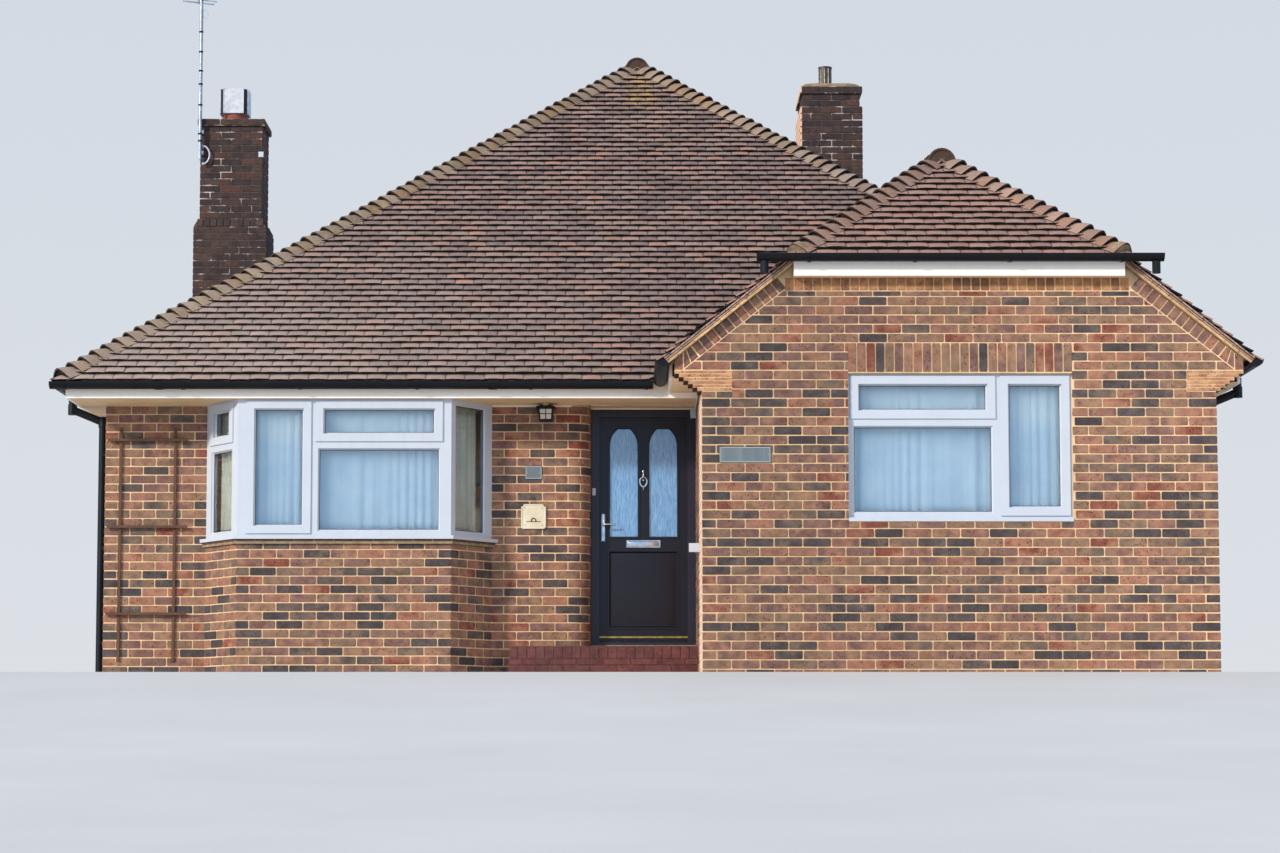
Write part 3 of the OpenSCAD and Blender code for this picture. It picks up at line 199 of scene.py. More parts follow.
def build_streaks(s, given):
    """Dirt that rain has drawn down a face."""
    lines = s.noise(1.0, 3, 0.5, s.stretch(26.0, 26.0, 1.1))
    cloud = s.noise(1.3, 2, 0.5)
    mask = s.times(s.times(s.span(lines, 0.5, 0.8), s.span(cloud, 0.35, 0.65)), given["Amount"], True)
    return s.mix(mask, given["Colour"], given["Dirt"]), mask


STREAKS = effect("streaks", [("Colour", "Color", (1, 1, 1, 1)), ("Dirt", "Color", (0, 0, 0, 1)),
                             ("Amount", "Float", 0.5)],
                 [("Colour", "Color"), ("Mask", "Float")], build_streaks)


def build_grit(s, given):
    """Fine roughness of a surface, as a normal and as a height."""
    coarse = s.noise(given["Scale"], 4, 0.65)
    fine = s.noise(s.times(given["Scale"], 4.7), 2, 0.6)
    height = s.math("ADD", s.times(coarse, 0.7), s.times(fine, 0.3))
    return s.bump(height, given["Depth"]), height


GRIT = effect("grit", [("Scale", "Float", 60.0), ("Depth", "Float", 0.003)],
              [("Normal", "Vector"), ("Height", "Float")], build_grit)


def build_speckle(s, given):
    """Small spots, more in some places than in others."""
    spots = s.put("TexVoronoi", "Distance", Vector=s.place(), Scale=given["Scale"], Randomness=1.0)
    some = s.noise(s.times(given["Scale"], 0.12), 2, 0.5)
    mask = s.times(s.span(spots, 0.28, 0.12), s.times(s.span(some, 0.45, 0.6), given["Amount"]), True)
    return s.mix(mask, given["Colour"], given["Spots"]), mask


SPECKLE = effect("speckle", [("Colour", "Color", (1, 1, 1, 1)), ("Spots", "Color", (1, 1, 1, 1)),
                             ("Amount", "Float", 0.5), ("Scale", "Float", 60.0)],
                 [("Colour", "Color"), ("Mask", "Float")], build_speckle)


def finish_of(name, build, **plain):
    """A material: build(shades) returns what feeds its shader, and plain holds its constants."""
    material = bpy.data.materials.new(name)
    material.use_nodes = True
    tree = material.node_tree
    shader = next(n for n in tree.nodes if n.type == "BSDF_PRINCIPLED")
    s = Shades(tree)
    for label, value in plain.items():
        shader.inputs[label.replace("_", " ")].default_value = value
    for label, value in build(s).items():
        s.feed(shader.inputs[label.replace("_", " ")], value)
    material.diffuse_color = plain.get("Base_Color", (0.5, 0.5, 0.5, 1))
    return material


# Finishes

def edge(node, end, axis):
    """One side of a CAD node's box: end 0 is the low side of an axis and end 1 the high side."""
    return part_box(node)[end][axis]


LEFT, RIGHT = edge("left_wall", 0, 0), edge("right_wall", 1, 0)
FRONT, REAR = edge("front_wall_left", 0, 1), edge("rear_wall", 1, 1)
WING_X, WING_Y = edge("wing_front_wall", 0, 0), edge("wing_front_wall", 0, 1)
WALL = edge("left_wall", 1, 0) - LEFT
ROOM_X, ROOM_Y = RIGHT - WALL + 0.004, REAR - WALL + 0.004
WING_ROOM_X, WING_ROOM_W = (WING_X + RIGHT) / 2, (RIGHT - WING_X) / 2 - WALL + 0.004
WING_ROOM_Y, WING_ROOM_D = (WING_Y + WALL + FRONT + 0.5) / 2, (FRONT + 0.5 - WING_Y - WALL) / 2 + 0.004


def build_painted_sun(s, given):
    """Painted sun and shade on the walls: the wing's front is made paler to the right, with painted shade
    near its top under the fascia, and its left return gets a painted sunlit strip near the front corner.
    """
    x, y, z = (s.along(i) for i in range(3))
    wing = s.math("LESS_THAN", y, WING_Y + 0.02)
    # The wing's front, made paler to the right, with painted shade near its top under the fascia
    level = s.times(s.span(x, 1.4, 3.8, 0.90, 1.08), s.span(z, 2.6, 3.0, 1.0, 0.95))
    shade = s.math("ADD", 1.0, s.times(wing, s.math("SUBTRACT", level, 1.0)))
    lit = s.put("VectorMath", 0, [("operation", "MULTIPLY")], i0=given["Colour"],
                i1=s.put("CombineXYZ", 0, i0=shade, i1=shade, i2=shade))
    # A painted sunlit strip on the wing's left return, near its front corner
    side = s.times(s.near(x, WING_X, 0.012),
                   s.times(s.math("GREATER_THAN", y, WING_Y + 0.002), s.math("LESS_THAN", z, 2.3)))
    return (s.mix(s.times(side, s.span(y, -6.1, -6.4, 0.0, 0.75)), lit, srgb(250, 220, 194)),)


PAINTED_SUN = effect("painted_sun_and_shade", [("Colour", "Color", (1, 1, 1, 1))], [("Colour", "Color")], build_painted_sun)

BRICK_STOCK = [(0.00, srgb(74, 68, 70)), (0.10, srgb(90, 80, 80)), (0.18, srgb(110, 96, 88)),
               (0.27, srgb(136, 110, 92)), (0.38, srgb(150, 118, 96)), (0.50, srgb(164, 124, 100)),
               (0.60, srgb(138, 104, 94)), (0.70, srgb(124, 94, 88)), (0.80, srgb(162, 118, 98)),
               (0.90, srgb(168, 118, 96)), (0.96, srgb(150, 96, 78)), (1.0, srgb(140, 80, 66))]
# The head course under the fascia: its lighter, warmer colours are painted light bounced from the soffit
HEAD_STOCK = [(0.0, srgb(118, 84, 62)), (0.3, srgb(156, 110, 78)), (0.6, srgb(192, 142, 98)),
              (0.8, srgb(160, 106, 76)), (1.0, srgb(204, 156, 110))]
DARK_STOCK = [(0.0, srgb(54, 45, 49)), (0.3, srgb(70, 56, 54)), (0.55, srgb(49, 43, 48)),
              (0.8, srgb(78, 62, 56)), (1.0, srgb(90, 60, 54))]
RED_STOCK = [(0.0, srgb(104, 58, 58)), (0.4, srgb(118, 70, 68)), (0.7, srgb(94, 56, 58)),
             (1.0, srgb(112, 72, 70))]
# Verge layers; the darkest stops colour the painted shade behind the tile ends
VERGE_STOCK = [(0.0, srgb(44, 32, 28)), (0.15, srgb(44, 32, 28)), (0.2, srgb(150, 116, 102)),
               (0.45, srgb(196, 164, 150)), (0.65, srgb(160, 120, 104)), (0.75, srgb(200, 158, 112)),
               (1.0, srgb(222, 180, 132))]
CORBEL_STOCK = [(0.0, srgb(206, 156, 116)), (0.5, srgb(184, 132, 98)), (1.0, srgb(214, 170, 130))]


def brick_finish(name, stock, soot=0.25, blend=0.14, low_painted_shade=0.0, painted_sunlit_side=None):
    """Bricks: tone picks a brick's colour and blend varies it within the brick. A darkening given for the low
    courses paints shade on them and adds the wing's painted sun and shade; the side given is a stack's left
    face, painted sunlit."""
    def build(s):
        tone = s.math("ADD", s.attribute("tone"), s.span(s.noise(5.5, 3), 0.32, 0.68, -blend, blend))
        # Painted shade on the low courses of the wall
        if low_painted_shade:
            tone = s.math("SUBTRACT", tone, s.span(s.along(2), 0.3, 1.5, low_painted_shade, 0.0))
        base = s.ramp(tone, stock)
        cloud = s.noise(13, 4, 0.62)
        shaded = s.mix(s.span(cloud, 0.40, 0.66, 0.0, 0.72), base,
                       s.mix(1.0, base, (0.52, 0.48, 0.50, 1), "MULTIPLY"))
        sanded = s.group(SPECKLE, Colour=shaded, Spots=srgb(204, 172, 146), Amount=0.35, Scale=95.0)
        blotted = s.group(SPECKLE, Colour=sanded["Colour"], Spots=srgb(72, 58, 56), Amount=0.6, Scale=21.0)
        pitted = s.group(SPECKLE, Colour=blotted["Colour"], Spots=srgb(40, 30, 28), Amount=0.9, Scale=46.0)
        dirt_and_shade = s.group(GRIME, Colour=pitted["Colour"], Dirt=srgb(64, 52, 48), Amount=soot, Scale=1.7)
        grit = s.group(GRIT, Scale=70.0, Depth=0.005)
        pits = s.bump(s.math("SUBTRACT", 1.0, pitted["Mask"]), 0.004, 1.0, grit["Normal"])
        colour = dirt_and_shade["Colour"]
        # The wing's painted sun and shade
        if low_painted_shade:
            colour = s.group(PAINTED_SUN, Colour=colour)["Colour"]
        # Painted sunlight on the left face of a stack
        if painted_sunlit_side:
            across = s.along(0)
            face = s.times(s.math("GREATER_THAN", across, painted_sunlit_side - 0.03),
                           s.math("LESS_THAN", across, painted_sunlit_side + 0.012))
            colour = s.mix(s.times(face, 0.85), colour, srgb(236, 196, 170))
        return {"Base_Color": colour, "Normal": pits,
                "Roughness": s.span(grit["Height"], 0.3, 0.7, 0.82, 0.95)}
    return finish_of(name, build, Specular_IOR_Level=0.25)


def inside_rooms(s):
    """One on the room side of the outer walls, nothing outside."""
    x, y = s.along(0), s.along(1)
    main = s.times(s.near(x, 0.0, ROOM_X), s.near(y, 0.0, ROOM_Y))
    wing = s.times(s.near(x, WING_ROOM_X, WING_ROOM_W), s.near(y, WING_ROOM_Y, WING_ROOM_D))
    return s.math("MAXIMUM", main, wing)


def mortar_finish(name, light, dark, plastered=False, patchy=0.0):
    """Mortar or cement; plastered gives it painted plaster inside the rooms, patchy pale lime in places."""
    def build(s):
        base = s.mix(s.span(s.noise(14, 4), 0.3, 0.7), light, dark)
        if patchy:
            base = s.mix(s.span(s.noise(4.2, 4, 0.65), 0.52, 0.62, 0.0, patchy), base, srgb(214, 206, 198))
        dirt_and_shade = s.group(GRIME, Colour=base, Dirt=srgb(96, 82, 66), Amount=0.4, Scale=2.3)
        grit = s.group(GRIT, Scale=160.0, Depth=0.002)
        # The wing's painted sun and shade, as on its bricks
        colour = s.group(PAINTED_SUN, Colour=dirt_and_shade["Colour"])["Colour"]
        if plastered:
            plaster = s.mix(s.span(s.noise(2.0), 0.3, 0.7), srgb(214, 208, 196), srgb(202, 196, 184))
            colour = s.mix(inside_rooms(s), colour, plaster)
        return {"Base_Color": colour, "Normal": grit["Normal"],
                "Roughness": s.span(grit["Height"], 0.3, 0.7, 0.88, 0.97)}
    return finish_of(name, build, Specular_IOR_Level=0.2)


def corbel_shade_build(s):
    """Mortar between the corbel's tiles, with painted shade on its faces that look sideways or down."""
    facing = s.put("SeparateXYZ", 1, i0=s.put("NewGeometry", "True Normal"))
    front = s.mix(s.span(s.noise(14, 4), 0.3, 0.7), srgb(244, 210, 168), srgb(226, 188, 146))
    grit = s.group(GRIT, Scale=160.0, Depth=0.002)
    # Painted shade where the mortar faces sideways or down
    return {"Base_Color": s.mix(s.span(facing, -0.4, -0.8), srgb(74, 46, 26), front),
            "Normal": grit["Normal"], "Roughness": s.span(grit["Height"], 0.3, 0.7, 0.88, 0.97)}


TILE_STOCK = [(0.0, srgb(126, 106, 101)), (0.2, srgb(158, 133, 123)), (0.4, srgb(127, 104, 100)),
              (0.6, srgb(168, 135, 123)), (0.75, srgb(120, 101, 98)), (0.9, srgb(174, 130, 114)),
              (1.0, srgb(150, 128, 120))]
BONNET_STOCK = [(0.0, srgb(146, 128, 118)), (0.35, srgb(164, 146, 132)), (0.6, srgb(126, 110, 102)),
                (0.85, srgb(152, 124, 104)), (1.0, srgb(140, 112, 96))]


def tile_finish(name, stock, moss=0.35, lichen_at=(), bleached=0.0):
    """Weathered clay tiles, with painted shade under the tails and on the sides. lichen_at holds (x, z, half
    width, half height, strength) of yellow patches, and bleached is how far the lower left of the roof has
    paled."""
    def build(s):
        base = s.ramp(s.attribute("tone"), stock)
        cloud = s.noise(7, 5, 0.65)
        shaded = s.mix(s.span(cloud, 0.35, 0.75, 0.0, 0.5), base,
                       s.mix(1.0, base, (0.60, 0.56, 0.55, 1), "MULTIPLY"))
        x, y, z = (s.along(i) for i in range(3))
        shaded = s.mix(s.span(y, -5.9, -6.3, 0.0, 0.35), shaded, srgb(186, 136, 118))
        low_left = s.times(s.span(z, 4.6, 2.6), s.span(x, 0.5, -3.5))
        if bleached:
            shaded = s.mix(s.times(low_left, bleached), shaded, srgb(180, 161, 151))
        pale = s.group(SPECKLE, Colour=shaded, Spots=srgb(206, 190, 176), Amount=0.8, Scale=52.0)
        fine = s.group(SPECKLE, Colour=pale["Colour"], Spots=srgb(58, 44, 42), Amount=0.7, Scale=70.0)
        green = s.group(GRIME, Colour=fine["Colour"], Dirt=srgb(96, 82, 66), Amount=moss, Scale=3.1)
        colour = green["Colour"]
        for at, up, wide, tall, strength in lichen_at:
            reach = s.times(s.span(s.away(x, at), wide, wide * 0.4),
                            s.span(s.away(z, up), tall, tall * 0.5))
            patch = s.times(reach, s.span(s.noise(11, 4), 0.42, 0.66, 0.05, strength))
            colour = s.mix(patch, colour, srgb(196, 156, 76))
        # Painted shade on each tile just below the next course's tail, less on the lower left of the roof
        under = s.times(s.span(s.attribute("under"), 0.64, 0.77, 0.0, 0.85),
                        s.math("SUBTRACT", 1.0, s.times(low_left, 0.6)))
        shaded = s.mix(under, colour, srgb(34, 25, 24))
        # Painted shade at each tile's sides, where neighbouring tiles meet
        edged = s.mix(s.span(s.math("ABSOLUTE", s.attribute("across")), 0.44, 0.49, 0.0, 0.3), shaded,
                      srgb(40, 30, 28))
        # Painted shade on the tail ends and undersides of the tiles
        dirt_and_shade = s.mix(s.attribute("rim"), edged, srgb(20, 14, 14))
        grit = s.group(GRIT, Scale=48.0, Depth=0.008)
        return {"Base_Color": dirt_and_shade, "Normal": grit["Normal"],
                "Roughness": s.span(grit["Height"], 0.3, 0.7, 0.8, 0.96)}
    return finish_of(name, build, Specular_IOR_Level=0.3)


def painted_finish(name, colour, dirt, amount, gutter_shade_tint=None, **plain):
    """Paint or plastic with streaks and spots of dirt; the tint given for the main fascia's top is a warm
    painted shade under the gutter.
    """
    def build(s):
        paint = colour
        # Painted shade: a warm tint on the top of the main fascia, under its gutter
        if gutter_shade_tint:
            high = s.along(2)
            shaded = s.times(s.span(high, 2.41, 2.46), s.span(high, 2.95, 2.65))
            paint = s.mix(shaded, colour, gutter_shade_tint)
        shade = s.mix(s.span(s.noise(3, 3), 0.3, 0.7, 0, 0.25), paint,
                      s.mix(1.0, paint, (0.86, 0.85, 0.83, 1), "MULTIPLY"))
        lines = s.group(STREAKS, Colour=shade, Dirt=dirt, Amount=amount)
        spots = s.group(GRIME, Colour=lines["Colour"], Dirt=dirt, Amount=amount * 0.6, Scale=5.0)
        rough = plain.get("Roughness", 0.4)
        grit = s.group(GRIT, Scale=35.0, Depth=0.0006)
        return {"Base_Color": spots["Colour"], "Normal": grit["Normal"],
                "Roughness": s.span(spots["Mask"], 0, 1, rough, min(1, rough + 0.35))}
    return finish_of(name, build, **plain)


def metal_finish(name, light, dark, rough, scale=30.0):
    """Bare metal with a faint spangle in two greys, dull in places."""
    def build(s):
        spangle = s.put("TexVoronoi", "Color", Vector=s.place(), Scale=scale)
        grey = s.put("SeparateColor", 0, i0=spangle)
        base = s.mix(grey, light, dark)
        dull = s.group(GRIME, Colour=base, Dirt=s.mix(1.0, dark, (0.5, 0.48, 0.45, 1), "MULTIPLY"),
                       Amount=0.5, Scale=7.0)
        grit = s.group(GRIT, Scale=90.0, Depth=0.0008)
        return {"Base_Color": dull["Colour"], "Normal": grit["Normal"],
                "Roughness": s.span(dull["Mask"], 0, 1, rough, min(1, rough + 0.3))}
    return finish_of(name, build, Metallic=0.9)


BRICK = brick_finish("multi_stock_brick", BRICK_STOCK, 0.25, 0.13, 0.06)
HEAD_BRICK = brick_finish("head_brick", HEAD_STOCK, 0.2, 0.2)
STACK_BRICK = brick_finish("weathered_stack_brick", DARK_STOCK, 0.5, painted_sunlit_side=edge("right_chimney", 0, 0))
STEP_BRICK = brick_finish("red_step_brick", RED_STOCK, 0.35)
VERGE_TILE = brick_finish("verge_tile", VERGE_STOCK, 0.2, 0.02)
CREASING_TILE = brick_finish("creasing_tile", [(0, srgb(84, 60, 50)), (1, srgb(112, 78, 62))])
RIDGE_END = brick_finish("dark_ridge_end", [(0, srgb(74, 58, 50)), (1, srgb(96, 74, 62))], 0.4)
CORBEL_TILE = brick_finish("corbel_tile", CORBEL_STOCK, 0.12, 0.3)
CORBEL_BED = finish_of("corbel_bed", corbel_shade_build, Specular_IOR_Level=0.2)
MORTAR = mortar_finish("buff_mortar", srgb(236, 202, 162), srgb(212, 178, 138), True)
STACK_MORTAR = mortar_finish("stack_mortar", srgb(88, 78, 76), srgb(60, 52, 53), patchy=0.75)
CEMENT = mortar_finish("cement_flaunching", srgb(168, 148, 118), srgb(124, 108, 88))
CONCRETE = mortar_finish("concrete_slab", srgb(150, 146, 138), srgb(120, 116, 110))
ROOF_TILE = tile_finish("clay_roof_tile", TILE_STOCK, 0.35, [(0.02, 6.05, 0.2, 0.3, 0.8)], 0.7)
HIP_TILE = tile_finish("bonnet_tile", BONNET_STOCK, 0.5,
                       [(0.9, 5.6, 1.1, 0.7, 0.2), (-2.6, 4.2, 4.0, 4.0, 0.3)], 0.5)
# White uPVC, tinted blue-grey as painted sky light
UPVC = painted_finish("white_upvc", srgb(192, 199, 211), srgb(140, 140, 136), 0.16, Roughness=0.3)
FASCIA = painted_finish("white_fascia_board", srgb(255, 248, 240), srgb(170, 150, 124), 0.12, Roughness=0.4,
                        gutter_shade_tint=srgb(255, 232, 200))


def soffit_build(s):
    """Cream boards with painted shadow lines between them, painted warmer and brighter in front of the main
    eaves as light bounced up from below.
    """
    depth = s.along(1)
    line = s.math("LESS_THAN", s.math("FRACT", s.times(depth, 10.0)), 0.08)
    cloud = s.mix(s.span(s.noise(3, 3), 0.3, 0.7), srgb(244, 210, 164), srgb(226, 190, 142))
    # Painted bounce light on the soffits in front of the main eaves
    bright = s.mix(s.span(depth, -5.95, -6.0), cloud, srgb(255, 222, 178))
    boards = s.mix(s.times(line, 0.65), bright, srgb(110, 86, 62))
    grit = s.group(GRIT, Scale=35.0, Depth=0.0006)
    return {"Base_Color": boards, "Normal": grit["Normal"], "Roughness": s.span(cloud, 0, 1, 0.5, 0.6)}


SOFFIT = finish_of("cream_soffit_board", soffit_build)
TRIM = painted_finish("cream_trim", srgb(236, 222, 202), srgb(150, 130, 104), 0.2, Roughness=0.5)
PLASTER = painted_finish("room_plaster", srgb(214, 208, 196), srgb(170, 160, 146), 0.2, Roughness=0.85)
BLACK_PLASTIC = painted_finish("black_gutter_plastic", srgb(12, 14, 19), srgb(56, 54, 54), 0.1, Roughness=0.4,
                               Specular_IOR_Level=0.2)
DOOR_SKIN = painted_finish("aubergine_door", srgb(24, 17, 25), srgb(60, 52, 58), 0.08, Roughness=0.34,
                           Specular_IOR_Level=0.3, Coat_Weight=0.1, Coat_Roughness=0.08)
DOOR_FRAME = painted_finish("aubergine_frame", srgb(40, 34, 46), srgb(84, 76, 82), 0.08, Roughness=0.3,
                            Specular_IOR_Level=0.35)
ALUMINIUM = metal_finish("aluminium", srgb(190, 192, 196), srgb(150, 152, 158), 0.38, 60.0)
CHROME = metal_finish("polished_chrome", srgb(226, 228, 232), srgb(200, 204, 210), 0.14, 20.0)
BRASS = metal_finish("brass_strip", srgb(222, 186, 104), srgb(186, 148, 76), 0.3, 40.0)
RIB_STEEL = metal_finish("rib_steel", srgb(186, 172, 150), srgb(120, 108, 92), 0.5)
RUBBER = painted_finish("black_gasket", srgb(38, 40, 44), srgb(90, 90, 90), 0.2, Roughness=0.6)
SLATE = painted_finish("slate_plate", srgb(92, 104, 112), srgb(150, 150, 146), 0.3, Roughness=0.6)
# A pale slate colour that paints a highlight on the plates' raised rims
PLATE_EDGE_HIGHLIGHT = painted_finish("pale_slate_painted_highlight", srgb(168, 178, 182), srgb(96, 100, 100), 0.4, Roughness=0.6)
PLAQUE = painted_finish("cream_plaque", srgb(222, 214, 192), srgb(150, 126, 84), 0.7, Roughness=0.55)
FROSTED = painted_finish("frosted_lantern_glass", srgb(206, 200, 186), srgb(150, 140, 120), 0.3,
                         Roughness=0.35)
TIMBER = painted_finish("weathered_lath", srgb(98, 66, 46), srgb(56, 38, 28), 0.8, Roughness=0.8)


def split_finish(name, height, below, above, cowl=None):
    """Masonry or clay below a height and steel above it; cowl is the middle of one whose open corners are
    painted dark as the shade inside it.
    """
    def build(s):
        high = s.math("GREATER_THAN", s.along(2), height)
        cloud = s.span(s.noise(18, 4, 0.6), 0.3, 0.7)
        low_colour = s.mix(cloud, *below)
        high_colour = s.mix(cloud, *above)
        # Painted shade in the cowl's open corners
        if cowl:
            x, y = (s.away(s.along(i), cowl[i]) for i in (0, 1))
            inner = s.times(s.math("GREATER_THAN", x, 0.112), s.math("GREATER_THAN", y, 0.112))
            outer = s.times(s.math("LESS_THAN", x, 0.148), s.math("LESS_THAN", y, 0.148))
            high_colour = s.mix(s.times(inner, outer), high_colour, srgb(40, 32, 30))
        clean = s.mix(high, low_colour, high_colour)
        dirt_and_shade = s.group(GRIME, Colour=clean, Dirt=srgb(70, 62, 56), Amount=0.45, Scale=6.0)
        grit = s.group(GRIT, Scale=70.0, Depth=0.002)
        polish = s.math("SUBTRACT", high, s.times(dirt_and_shade["Mask"], 0.5))
        return {"Base_Color": dirt_and_shade["Colour"], "Normal": grit["Normal"],
                "Metallic": s.times(high, 0.3), "Roughness": s.span(polish, 0, 1, 0.9, 0.4)}
    return finish_of(name, build)


pot_low, pot_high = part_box("left_chimney_pot")
POT_AND_COWL = split_finish("clay_pot_and_steel_cowl", 6.489, (srgb(150, 82, 66), srgb(128, 70, 58)),
                            (srgb(226, 226, 228), srgb(196, 198, 204)), (pot_low + pot_high) / 2)
FLAUNCH_AND_FLUE = split_finish("cement_and_steel_flue", 6.805, (srgb(158, 136, 106), srgb(120, 102, 80)),
                                (srgb(74, 64, 54), srgb(34, 30, 28)))


def glass_build(s):
    """Float glass, very slightly wavy."""
    return {"Normal": s.group(GRIT, Scale=1.6, Depth=0.0012)["Normal"]}


GLASS = finish_of("window_glass", glass_build, Base_Color=(0.90, 0.97, 1.0, 1), Roughness=0.02,
                  Transmission_Weight=1.0, IOR=1.7)


def ripple_build(s):
    """Obscure glass with upright ripples; its blue, lighter and darker along the ripples, is a painted
    reflection of the sky.
    """
    lines = s.noise(1.0, 4, 0.6, s.stretch(120.0, 120.0, 14.0), distortion=0.6)
    # Painted sky reflection: blue, lighter and darker along the ripples
    return {"Normal": s.bump(lines, 0.004),
            "Base_Color": s.mix(s.span(lines, 0.35, 0.7), srgb(140, 190, 236), srgb(70, 130, 194))}


RIPPLE_GLASS = finish_of("obscure_door_glass", ripple_build, Roughness=0.12, Transmission_Weight=0.2, IOR=2.3)


def dress(material, *names):
    """Gives CAD nodes their finish."""
    for name in names:
        slots = nodes[name].material_slots
        for place in slots:
            place.material = material
        if not slots:
            nodes[name].data.materials.append(material)


dress(MORTAR, "left_wall", "right_wall", "rear_wall", "front_wall_left", "front_wall_right", "bay_wall",
      "lintels", "wing_front_wall", "wing_left_wall")
dress(STACK_MORTAR, "left_chimney", "right_chimney")
dress(CORBEL_BED, "corbels")
dress(CEMENT, "bay_sill", "roof_front", "roof_left", "roof_right", "roof_rear", "wing_roof_left",
      "wing_half_hip")
dress(STEP_BRICK, "front_step")
dress(CONCRETE, "floor_slab")
dress(PLASTER, "ceiling", "net_curtains")
dress(HIP_TILE, "ridge_tiles", "hip_tiles")
dress(FASCIA, "fascias")
dress(SOFFIT, "soffits")
dress(BLACK_PLASTIC, "gutters", "downpipes", "porch_lantern")
dress(POT_AND_COWL, "left_chimney_pot")
dress(FLAUNCH_AND_FLUE, "right_flue")
dress(ALUMINIUM, "tv_aerial")
dress(UPVC, "bay_window_frame", "wing_window_frame", "rear_window_frames", "wall_boxes")
dress(GLASS, "bay_window_glass", "wing_window_glass", "rear_window_glass")
dress(DOOR_FRAME, "door_frame")
dress(DOOR_SKIN, "front_door")
dress(RIPPLE_GLASS, "door_glass")
dress(CHROME, "door_furniture")
dress(SLATE, "wall_plates")
dress(PLAQUE, "wall_plaque")
dress(TIMBER, "trellis")


# The house's own lines

RISE = radians(38.5)
SLOPE = tan(RISE)
EAVE_Z = 2.53
EAVE_X, EAVE_FRONT, EAVE_REAR = edge("roof_right", 1, 0), edge("roof_front", 0, 1), edge("roof_rear", 1, 1)
WING_EAVE = edge("wing_roof_left", 0, 0)
VERGE_Y = edge("wing_roof_left", 0, 1)
HALF_HIP_Y, HALF_HIP_Z = edge("wing_half_hip", 0, 1), 3.36
WING_MID, WING_HALF = (WING_EAVE + EAVE_X) / 2, (EAVE_X - WING_EAVE) / 2
HALF_HIP_RUN = (HALF_HIP_Z - EAVE_Z) / SLOPE
WING_RIDGE_Y = HALF_HIP_Y + WING_HALF - HALF_HIP_RUN
WING_JOIN_Y = EAVE_FRONT + WING_HALF
RIDGE_Z, WING_RIDGE_Z = EAVE_Z + EAVE_X * SLOPE, EAVE_Z + WING_HALF * SLOPE
RIDGE_FRONT, RIDGE_REAR = EAVE_FRONT + EAVE_X, EAVE_REAR - EAVE_X

# The foot and the top of each hip on plan

FRONT_FOOT, LEFT_FOOT, RIGHT_FOOT = (-EAVE_X, EAVE_FRONT), (-EAVE_X, EAVE_REAR), (EAVE_X, EAVE_REAR)
FRONT_TOP, REAR_TOP = (0, RIDGE_FRONT), (0, RIDGE_REAR)
WING_JOIN, WING_TOP = (WING_MID, WING_JOIN_Y), (WING_MID, WING_RIDGE_Y)
HALF_HIP_LEFT, HALF_HIP_RIGHT = (WING_EAVE + HALF_HIP_RUN, HALF_HIP_Y), (EAVE_X - HALF_HIP_RUN, HALF_HIP_Y)


# Making meshes

CORNERS = ((-1, -1), (1, -1), (1, 1), (-1, 1))


def arc(first, last, steps):
    """Angles at even steps from the first to the last, both included."""
    return [first + (last - first) * i / steps for i in range(steps + 1)]


def axes_along(way):
    """Axes of a piece that lies on a sloping line: across it, along it and square to both."""
    up = way.normalized()
    across = up.cross(Vector((0, 0, 1))).normalized()
    return Matrix((across, up, across.cross(up))).transposed()


def face_outwards(mesh):
    work = bmesh.new()
    work.from_mesh(mesh)
    bmesh.ops.recalc_face_normals(work, faces=work.faces)
    work.to_mesh(mesh)
    work.free()


